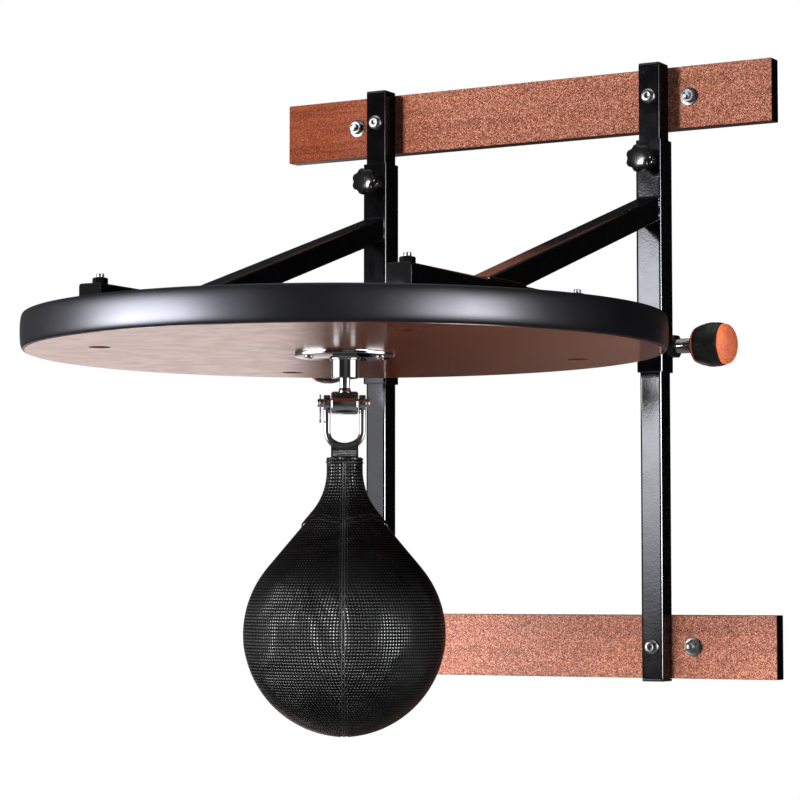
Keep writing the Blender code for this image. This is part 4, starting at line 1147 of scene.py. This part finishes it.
def build_bag(pin_place):
    loop_place = pin_place @ Matrix.Translation((0, 0, -LOOP_DROP))
    start = 0.0016
    rings = []
    for radius, z in PROFILE:
        height = z if z > -0.2 else z + start * 0.9
        rings.append(round_ring(max(radius - start, 0) if radius else 0, height, 96))
    skin = loft("bag_cover_skin", rings, LOOKS["bag_leather"], smooth=180)
    inflate(skin, 0.0021)
    subdivide = skin.modifiers.new("smooth", "SUBSURF")
    subdivide.levels = subdivide.render_levels = 1
    bake_modifiers(skin)
    shape_skin(skin)
    lap = build_lap(loop_place)
    build_seams(loop_place, skin, lap)
    stand_for(skin, "bag_cover", loop_place)
    for piece in bpy.context.scene.objects:
        if piece.name.startswith(("bag_", "bladder")):
            piece.visible_glossy = False
    build_band(loop_place)
    build_loop(loop_place)


def shape_skin(skin):
    """Draws the skin in along its seams, folds the neck a little and stores the way down the side."""
    co = positions(skin)
    radius = np.hypot(co[:, 0], co[:, 1])
    angle = np.arctan2(co[:, 1], co[:, 0])
    panel = (angle + 4 * math.pi) % QUARTER
    off = np.minimum(panel, QUARTER - panel) * radius
    groove = 0.0008 * np.exp(-((off / 0.0032) ** 2)) * np.clip((radius - 0.004) / 0.01, 0, 1)
    scale = 1 + (neck_folds(angle, co[:, 2]) - groove) / np.maximum(radius, 0.006)
    co[:, 0] *= scale
    co[:, 1] *= scale
    skin.data.vertices.foreach_set("co", co.astype(np.float32).ravel())
    store_run(skin)
    skin.data.update()
    skin.data.shade_smooth()
    skin.data.materials.clear()
    skin.data.materials.append(LOOKS["bag_leather"])


def seam_points(angle, lift, top, bottom_radius, shift=0.0, spacing=0.0022):
    """Points down the bag's side at one angle, moved out by lift and sideways by shift."""
    low = float(np.interp(bottom_radius, RADII[:20], RUN[:20]))
    high = float(np.interp(top, LEVELS, RUN))
    count = int((high - low) / spacing)
    points = []
    for step in range(count + 1):
        run = high + (low - high) * step / count
        radius, z = side_point(run)
        ahead, behind = side_point(run - 0.001), side_point(run + 0.001)
        out = Vector((-(ahead[1] - behind[1]), ahead[0] - behind[0])).normalized()
        rise = lift + (0.0013 if z > LAP_END_Z else 0)
        r, height = radius + out.x * rise, z + out.y * rise
        turn = angle + shift / max(radius, 0.004)
        points.append(Vector(polar(r, turn, height)))
    return points


def stitches(name, points, look, place, node="bag_cover", length=0.0024, radius=0.00032):
    """Short rounded threads laid between each pair of points."""
    vertices, faces = [], []
    for first, second in zip(points, points[1:]):
        direction = (second - first).normalized()
        centre = (first + second) / 2
        half = min(length, (second - first).length * 0.74) / 2
        flat = direction.orthogonal().normalized()
        other = direction.cross(flat)
        rings = []
        for along, size in ((-1.0, 0.25), (-0.8, 0.8), (0.0, 1.0), (0.8, 0.8), (1.0, 0.25)):
            middle_point = centre + direction * half * along
            offsets = [(flat * x + other * y) * radius * size for x, y in circle(1, 6)]
            rings.append([tuple(middle_point + offset) for offset in offsets])
        faces += faces_over(rings, first=len(vertices))
        vertices += [point for ring in rings for point in ring]
    stand_for(solid(name, vertices, faces, look, 60), node, place)


def laid_on(points, surfaces, lift):
    """Moves each point to the nearest place on the surfaces, then out along the normal there."""
    laid = []
    for point in points:
        hits = [surface.closest_point_on_mesh(point) for surface in surfaces]
        found = max(hits, key=lambda hit: Vector(hit[1]).xy.length - 10 * (hit[1] - point).length)
        laid.append(found[1] + found[2] * lift)
    return laid


def build_seams(place, skin, lap):
    """At each seam two folded edges meet in a shallow groove, with a row of stitches on each side."""
    for index, angle in enumerate(SEAMS):
        across = (-math.sin(angle), math.cos(angle), 0)
        for side, sign in (("a", -1), ("b", 1)):
            path = seam_points(angle, 0, NECK_TOP - 0.004, 0.0035, sign * FOLD_SHIFT)
            path = laid_on(path, [skin, lap], 0.0001)
            name = f"bag_seam_{index}{side}"
            obj = swept(name, path, across, PLAIN_LEATHER, circle(FOLD_RADIUS, 10), smooth=60)
            stand_for(obj, "bag_cover", place)
        for side, sign in (("a", -1), ("b", 1)):
            path = seam_points(angle, 0, NECK_TOP - 0.006, 0.006, sign * ROW_SHIFT, 0.0032)
            path = laid_on(path, [skin, lap], 0.0001)
            stitches(f"bag_stitches_{index}{side}", path, THREAD, place, radius=0.00028)


def build_lap(place):
    """A second layer of hide over the neck and shoulder, ending in a sewn edge."""
    steps, count = 128, 26
    start = NECK_TOP - 0.0010

    def ring(z, lift):
        points = []
        for step in range(steps):
            angle = FULL * step / steps
            panel = angle % QUARTER
            off = min(panel, QUARTER - panel) * side_radius(z)
            groove = 0.0010 * math.exp(-((off / 0.0030) ** 2))
            drop = 0.0022 * math.cos(4 * angle) if z < LAP_END_Z + 0.003 else 0
            level = z - drop
            reach = side_radius(level) + lift - groove + float(neck_folds(angle, level))
            points.append(polar(reach, angle, level))
        return points

    rings = [ring(start + (LAP_END_Z - start) * k / count, LAP_LIFT) for k in range(count + 1)]
    for drop, lift in ((0.0006, 0.0009), (0.0008, 0.0002), (0, -0.0008)):
        rings.append(ring(LAP_END_Z - drop, lift))
    obj = loft("bag_lap", rings, LOOKS["bag_leather"], caps=False, smooth=60)
    store_run(obj, 0.0007)
    stand_for(obj, "bag_cover", place)
    around = []
    count = 96
    for step in range(count + 1):
        angle = FULL * step / count
        z = LAP_END_Z + 0.0042 - 0.0022 * math.cos(4 * angle)
        around.append(Vector(polar(side_radius(z) + 0.00135, angle, z)))
    stitches("bag_lap_stitches", around, THREAD, place)
    return obj


def build_band(place):
    """The rolled binding round the bag's mouth."""
    steps = 96
    low, high = NECK_TOP - 0.0058, NECK_TOP + 0.0004

    def folded(level):
        def wobble(angle, radius):
            fold = math.sin(5 * angle + 2.1 * level) + 0.7 * math.sin(9 * angle - 1.3 * level + 1)
            return radius + 0.00034 * fold + 0.00022 * math.sin(17 * angle + level)

        return wobble

    profile = [(0.0148, high - 0.0012), (0.0153, high), (0.0166, high + 0.0002), (0.0175, high - 0.0005)]
    profile += [(0.0179, high - 0.0015), (0.0178, high - 0.0023), (0.0171, high - 0.0029)]
    profile += [(0.0173, high - 0.0033), (0.0180, high - 0.0040), (0.0180, high - 0.0051)]
    profile += [(0.0174, high - 0.0059), (0.0162, low), (0.0150, low + 0.0012)]
    shaped = [(r, z, folded(level)) for level, (r, z) in enumerate(profile)]
    band = turned("bag_band", shaped, PLAIN_LEATHER, steps, True, 60)
    stand_for(band, "bag_cover", place)
    around = [Vector(polar(0.0182, FULL * step / 48, high - 0.0046)) for step in range(49)]
    stitches("bag_band_stitches", around, THREAD, place)
    mouth = [(0, high - 0.0022), (0.0080, high - 0.0019), (0.0151, high - 0.0012)]
    mouth += [(0.0151, high - 0.0030), (0, high - 0.0034)]
    stand_for(turned("bag_mouth", mouth, PLAIN_LEATHER, steps), "bag_cover", place)


def build_loop(place):
    """A doubled strap that rides in the bow of the shackle, its edges lifted by the bow."""
    strap, inner, half_width, columns = 0.0020, 0.0034, 0.0133, 25
    rows = []

    def saddle(x):
        """How far the bar stands above its lowest point at this place across the strap."""
        return BOW_RADIUS - math.sqrt(BOW_RADIUS**2 - x**2)

    arc_steps = 16
    rise = [("tail", NECK_TOP - 0.0030), ("tail", NECK_TOP + 0.0012), ("leg", NECK_TOP + 0.0052)]
    outline = [(kind, -1, z) for kind, z in rise]
    outline += [("arc", step, 0) for step in range(arc_steps + 1)]
    outline += [(kind, 1, z) for kind, z in rise[::-1]]

    def point(kind, which, z, lift, x):
        if kind == "arc":
            angle = math.pi - math.pi * which / arc_steps
            reach = inner + lift
            top = -0.0026 + saddle(x) * 0.92 + reach * math.sin(angle)
            return (x, -reach * math.cos(angle), top)
        if kind == "leg":
            return (x, which * (0.0027 + lift), z + saddle(x) * 0.25)
        widen = 1.10 if z < NECK_TOP else 1
        return (x * widen, which * (0.0011 + lift), z)

    for step in range(columns):
        share = 2 * step / (columns - 1) - 1
        x = half_width * share
        edge = max(0, abs(share) - 0.9) / 0.1
        thick = strap * (1 - 0.45 * edge**2)
        outer = [point(kind, which, z, thick, x) for kind, which, z in outline]
        inside = [point(kind, which, z, strap * 0.22 * edge**2, x) for kind, which, z in outline]
        rows.append(outer + inside[::-1])
    obj = loft("bag_loop_strap", rows, LOOKS["bag_webbing"], smooth=50)
    stand_for(obj, "bag_loop", place)
    for index, z in enumerate((-0.0104, -0.0084, -0.0064)):
        for sign in (-1, 1):
            line = []
            for step in range(17):
                level = z + 0.0015 * (step % 2)
                out = float(np.interp(level, (-0.0112, -0.0072, -0.0026), (0.0031, 0.0047, 0.0054)))
                line.append(Vector((-0.0112 + 0.0224 * step / 16, sign * (out + 0.0001), level)))
            stitches(f"loop_stitches_{index}{sign + 1}", line, PALE_THREAD, place, "bag_loop")


# ---------------------------------------------------------------- build


for board_node in ("upper_wall_board", "lower_wall_board"):
    build_board(board_node)
build_wall_fasteners()
for side_name, side_sign in SIDES.items():
    build_post(side_name, side_sign)
    build_sleeve(side_name)
    build_arm(side_name)
    build_brace(side_name)
    build_star_knob(side_name)
    build_pull_pin(side_name, side_sign)
build_platform()
build_bag(build_swivel())

for node_name, node_object in NODES.items():
    if not node_object.hide_render:
        node_object.data.materials.clear()
        node_object.data.materials.append(look_of(node_name))

# ---------------------------------------------------------------- camera, light and floor

SENSOR = 36.0
LENS = 122.9
CAMERA_AZIMUTH = math.radians(29.5)
CAMERA_ELEVATION = math.radians(-4.0)
CAMERA_DISTANCE = 2.8
CAMERA_TARGET = Vector((-0.0194, -0.250, -0.3310))
EVEN = (0.4, 0.4, 0.4, 0.4)  # a lamp's fade: left, right, low, high


def direction(azimuth, elevation):
    flat = math.cos(elevation)
    return Vector((math.sin(azimuth) * flat, -math.cos(azimuth) * flat, math.sin(elevation)))


def build_camera():
    data = bpy.data.cameras.new("camera")
    data.lens = LENS
    data.sensor_width = SENSOR
    data.clip_end = 60
    camera = bpy.data.objects.new("camera", data)
    back = direction(CAMERA_AZIMUTH, CAMERA_ELEVATION)
    camera.location = CAMERA_TARGET + back * CAMERA_DISTANCE
    camera.rotation_mode = "QUATERNION"
    camera.rotation_quaternion = (-back).to_track_quat("-Z", "Y")
    bpy.context.scene.collection.objects.link(camera)
    bpy.context.scene.camera = camera


def build_world():
    """White behind the object, and a studio of soft panels for everything that the surfaces see."""
    world = bpy.data.worlds.new("studio")
    world.use_nodes = True
    bpy.context.scene.world = world
    tree = world.node_tree
    tree.nodes.clear()
    g = Graph(tree)
    ray = g.split(g.node("TexCoord", "Generated"))
    azimuth = g.math("ARCTAN2", ray[0], g.math("MULTIPLY", ray[1], -1.0))
    elevation = g.math("ARCSINE", ray[2])

    def panel(centre, half, soft, low, high, fade, strength):
        """A soft panel from its bearing and the elevations of its lower and upper edge, in degrees."""
        rad = math.radians
        off = g.math("SUBTRACT", azimuth, rad(centre))
        wrapped = g.node("Math", inputs={0: off, 1: math.pi, 2: -math.pi}, operation="WRAP")
        off = g.math("ABSOLUTE", wrapped)
        side = g.range(off, rad(half), rad(half + soft), 1.0, 0.0)
        bottom = g.range(elevation, rad(low - fade), rad(low + fade))
        top = g.range(elevation, rad(high - fade), rad(high + fade), 1.0, 0.0)
        return g.product(g.product(side, strength), g.product(bottom, top))

    def tinted(colour, value):
        return g.node("VectorMath", 0, {0: colour, "Scale": value}, operation="SCALE")

    total = tinted((1, 1, 1), g.range(elevation, math.radians(35), math.radians(80), 0.018, 0.8))
    lights = [
        tinted((1, 1, 1), g.range(elevation, math.radians(-14), math.radians(-60), 0.0, 0.14)),
        tinted((1.0, 0.85, 0.81), panel(-141.5, 6.5, 1.0, -40, 6, 2, 1.08)),
        tinted((1.0, 0.62, 0.50), panel(-166, 8, 8, -40, 6, 2, 0.26)),
        tinted((1, 1, 1), panel(-95, 30, 25, -20, 40, 20, 0.10)),
        tinted((1, 1, 1), panel(40, 8, 10, -20, 30, 15, 0.06)),
    ]
    for light in lights:
        total = g.node("VectorMath", 0, {0: total, 1: light}, operation="ADD")
    studio = g.node("Background", inputs={"Color": total, "Strength": 1.0})
    plain = g.node("Background", inputs={"Color": (1.0, 1.0, 1.0), "Strength": 1.0})
    camera_ray = g.node("LightPath", "Is Camera Ray")
    mixed = g.node("MixShader", inputs={0: camera_ray, 1: studio, 2: plain})
    output = tree.nodes.new("ShaderNodeOutputWorld")
    tree.links.new(mixed, output.inputs["Surface"])


def build_floor():
    """A pale round floor well below the object, fading at its edge and clear from underneath."""
    g = Graph.look("pale_floor")
    x, y, _ = g.split(g.place)
    far = g.radius(x, y)
    speckle = g.noise(14.0, 3.0, 0.5)
    base = g.mix(g.range(speckle, 0.3, 0.7), (0.88, 0.88, 0.88), (0.84, 0.84, 0.845))
    g.finish(base, 0.6)
    below = g.node("NewGeometry", "Backfacing")
    clear = g.math("MAXIMUM", below, g.range(far, 1.4, 3.2))
    see_through = g.node("BsdfTransparent")
    mixed = g.node("MixShader", inputs={0: clear, 1: g.shader.outputs[0], 2: see_through})
    g.tree.links.new(mixed, g.tree.nodes["Material Output"].inputs["Surface"])
    rings = [round_ring(3.3, 0, 96)]
    floor = solid("floor", rings[0], [list(range(96))], g.material)
    floor.location = (0, -0.35, -1.6)
    floor.visible_glossy = False


def softbox(name, bearing, distance, size, radiance, fade, sees, tint=(1, 1, 1), **options):
    """A rectangular lamp aimed at a point. Its face fades out towards each edge.

    bearing is azimuth and elevation in degrees, fade the share of the width and of the height over
    which the face goes dark, as left, right, low, high. sees names what the lamp acts on. The
    options are aim, a point, and the prefixes of pieces: only and skip, those it lights or leaves,
    and past, those that cast no shadow from it.
    """
    aim = options.get("aim", CAMERA_TARGET)
    data = bpy.data.lights.new(name, "AREA")
    data.shape = "RECTANGLE"
    data.size, data.size_y = size
    data.color = tint
    data.energy = radiance * math.pi * size[0] * size[1]
    data.use_nodes = True
    g = Graph(data.node_tree)
    u, v, _ = g.split(g.node("NewGeometry", "Parametric"))
    left, right, low, high = fade
    across = g.product(g.range(u, 0, left), g.range(u, 1 - right, 1, 1, 0))
    upright = g.product(g.range(v, 0, low), g.range(v, 1 - high, 1, 1, 0))
    g.feed(g.tree.nodes["Emission"].inputs["Strength"], g.product(across, upright))
    lamp = bpy.data.objects.new(name, data)
    back = direction(math.radians(bearing[0]), math.radians(bearing[1]))
    lamp.location = Vector(aim) + back * distance
    lamp.rotation_mode = "QUATERNION"
    lamp.rotation_quaternion = (-back).to_track_quat("-Z", "Y")
    lamp.visible_camera = False
    lamp.visible_glossy = "gloss" in sees
    lamp.visible_diffuse = "matt" in sees
    bpy.context.scene.collection.objects.link(lamp)
    if "only" in options:
        lamp.light_linking.receiver_collection = linked(name + "_lit", options["only"], "INCLUDE")
    if "skip" in options:
        lamp.light_linking.receiver_collection = linked(name + "_unlit", options["skip"], "EXCLUDE")
    if "past" in options:
        lamp.light_linking.blocker_collection = linked(name + "_past", options["past"], "EXCLUDE")


def linked(name, prefixes, state):
    """A light-linking group of every piece whose name begins with one of the prefixes."""
    group = bpy.data.collections.new(name)
    for obj in bpy.context.scene.objects:
        if obj.type == "MESH" and obj.name.startswith(prefixes):
            group.objects.link(obj)
    for member in group.collection_objects:
        member.light_linking.link_state = state
    return group


def build_lamps():
    gloss, matt = ("gloss",), ("matt",)
    left_tubes = ("left_post_tube", "left_sleeve_tube")
    right_tubes = ("right_post_tube", "right_sleeve_tube")
    tubes = left_tubes + right_tubes
    upper, lower = ("upper_wall_board",), ("lower_wall_board",)
    boards = upper + lower
    skin = ("bag_cover", "bag_lap", "bag_seam", "bag_stitches", "bag_band")
    metal = ("swivel_", "shackle", "retaining", "left_flange", "right_flange", "rear_flange")
    metal += ("upper_left_", "upper_right_", "lower_left_", "lower_right_")
    fixings = metal[-4:]
    knobs = ("left_star_knob", "right_star_knob")
    arms = ("left_arm", "right_arm")
    braces = ("left_brace", "right_brace")
    below = ("bag_", "bladder", "shackle", "swivel_")
    everything = ("",)
    soft, wide = (0.3, 0.3, 0.3, 0.3), (0.25, 0.25, 0.4, 0.4)
    right_face = {"aim": (0.168, -0.045, -0.20), "only": right_tubes, "past": below}
    left_face = {"aim": (-0.168, -0.045, -0.40), "only": left_tubes}
    on_bag = {"aim": (0, -0.39, -0.56), "only": skin}
    on_knobs = {"aim": (0, -0.1, -0.08), "only": knobs, "past": ("platform_",) + below[:2] + arms}
    on_floor = {"aim": (0, -0.35, -1.6), "only": ("floor",), "past": everything}
    away = tubes + boards + skin + metal + knobs + braces + arms
    warm = (1, 0.97, 0.93)
    # highlights: name, bearing, distance, size, radiance, fade
    softbox("key_strip", (-38, -2.5), 3.2, (3.3, 1.5), 38.0, (0.45, 0.30, 0.5, 0.2), gloss, skip=away)
    fade = (0.45, 0.45, 0.4, 0.3)
    rest = boards + skin + metal
    softbox("warm_strip", (69, 1), 3.2, (2.0, 0.8), 62.0, fade, gloss, warm, skip=rest)
    fade = (0.3, 0.3, 0.6, 0.08)
    softbox("right_face_strip", (-24.5, 0), 3.0, (1.0, 1.0), 12.5, fade, gloss, **right_face)
    softbox("metal_left", (-48, 0), 2.2, (3.2, 3.0), 2.6, wide, gloss, only=metal, past=tubes)
    softbox("metal_right", (104, 0), 2.2, (2.6, 3.0), 2.3, wide, gloss, only=metal)
    softbox("knob_spot", (-9, -4), 2.4, (0.9, 0.9), 120.0, EVEN, gloss, **on_knobs)
    fade = (0.3, 0.3, 0.5, 0.1)
    softbox("left_face_strip", (-30.0, 2.0), 3.0, (0.8, 0.8), 2.4, fade, gloss, **left_face)
    softbox("upper_board_sheen", (-26, 8), 3.2, (1.6, 1.2), 2.0, EVEN, gloss, only=upper)
    softbox("lower_board_sheen", (-26, -2), 3.2, (2.4, 1.2), 52.0, EVEN, gloss, only=lower)
    # matt light on each board, then the bag's highlights
    softbox("upper_board_wash", (-26, 18), 3.0, (0.6, 0.6), 82.0, EVEN, matt, only=upper, past=fixings)
    softbox("lower_board_wash", (-5, 20), 2.4, (1.6, 1.0), 62.0, EVEN, matt, only=lower)
    softbox("bag_front", (6, -2), 2.2, (1.5, 3.6), 50.0, EVEN, gloss, **on_bag)
    softbox("bag_left", (-62, 2), 2.4, (1.1, 3.4), 34.0, EVEN, gloss, **on_bag)
    softbox("bag_right", (84, -2), 2.4, (1.3, 3.4), 42.0, EVEN, gloss, **on_bag)
    softbox("arris_strip", (60, 2), 3.0, (0.7, 1.8), 95.0, EVEN, gloss, only=tubes)
    # matt light on everything else
    softbox("side_wash", (-29, 20), 3.0, (0.7, 0.7), 168.0, EVEN, matt, past=fixings)
    loop = ("bag_loop", "loop_stitches")
    softbox("loop_wash", (20, -12), 2.0, (1.0, 1.0), 60.0, EVEN, matt, only=loop)
    cores = ("left_pull_knob", "right_pull_knob")
    softbox("orange_wash", (60, 0), 3.0, (1.2, 1.2), 14.0, EVEN, matt, only=cores)
    softbox("front_wash", (0, 40), 3.4, (2.6, 2.2), 3.0, soft, matt, skip=boards)
    softbox("right_wash", (55, 10), 3.4, (2.0, 2.0), 5.0, soft, matt, skip=boards)
    softbox("floor_wash", (0, 89), 2.2, (3.5, 3.5), 3.0, EVEN, matt, **on_floor)
    softbox("low_wash", (10, -50), 3.0, (2.4, 2.4), 4.5, soft, matt, skip=boards)


build_camera()
build_world()
build_floor()
build_lamps()
bpy.context.scene.view_settings.view_transform = "Standard"
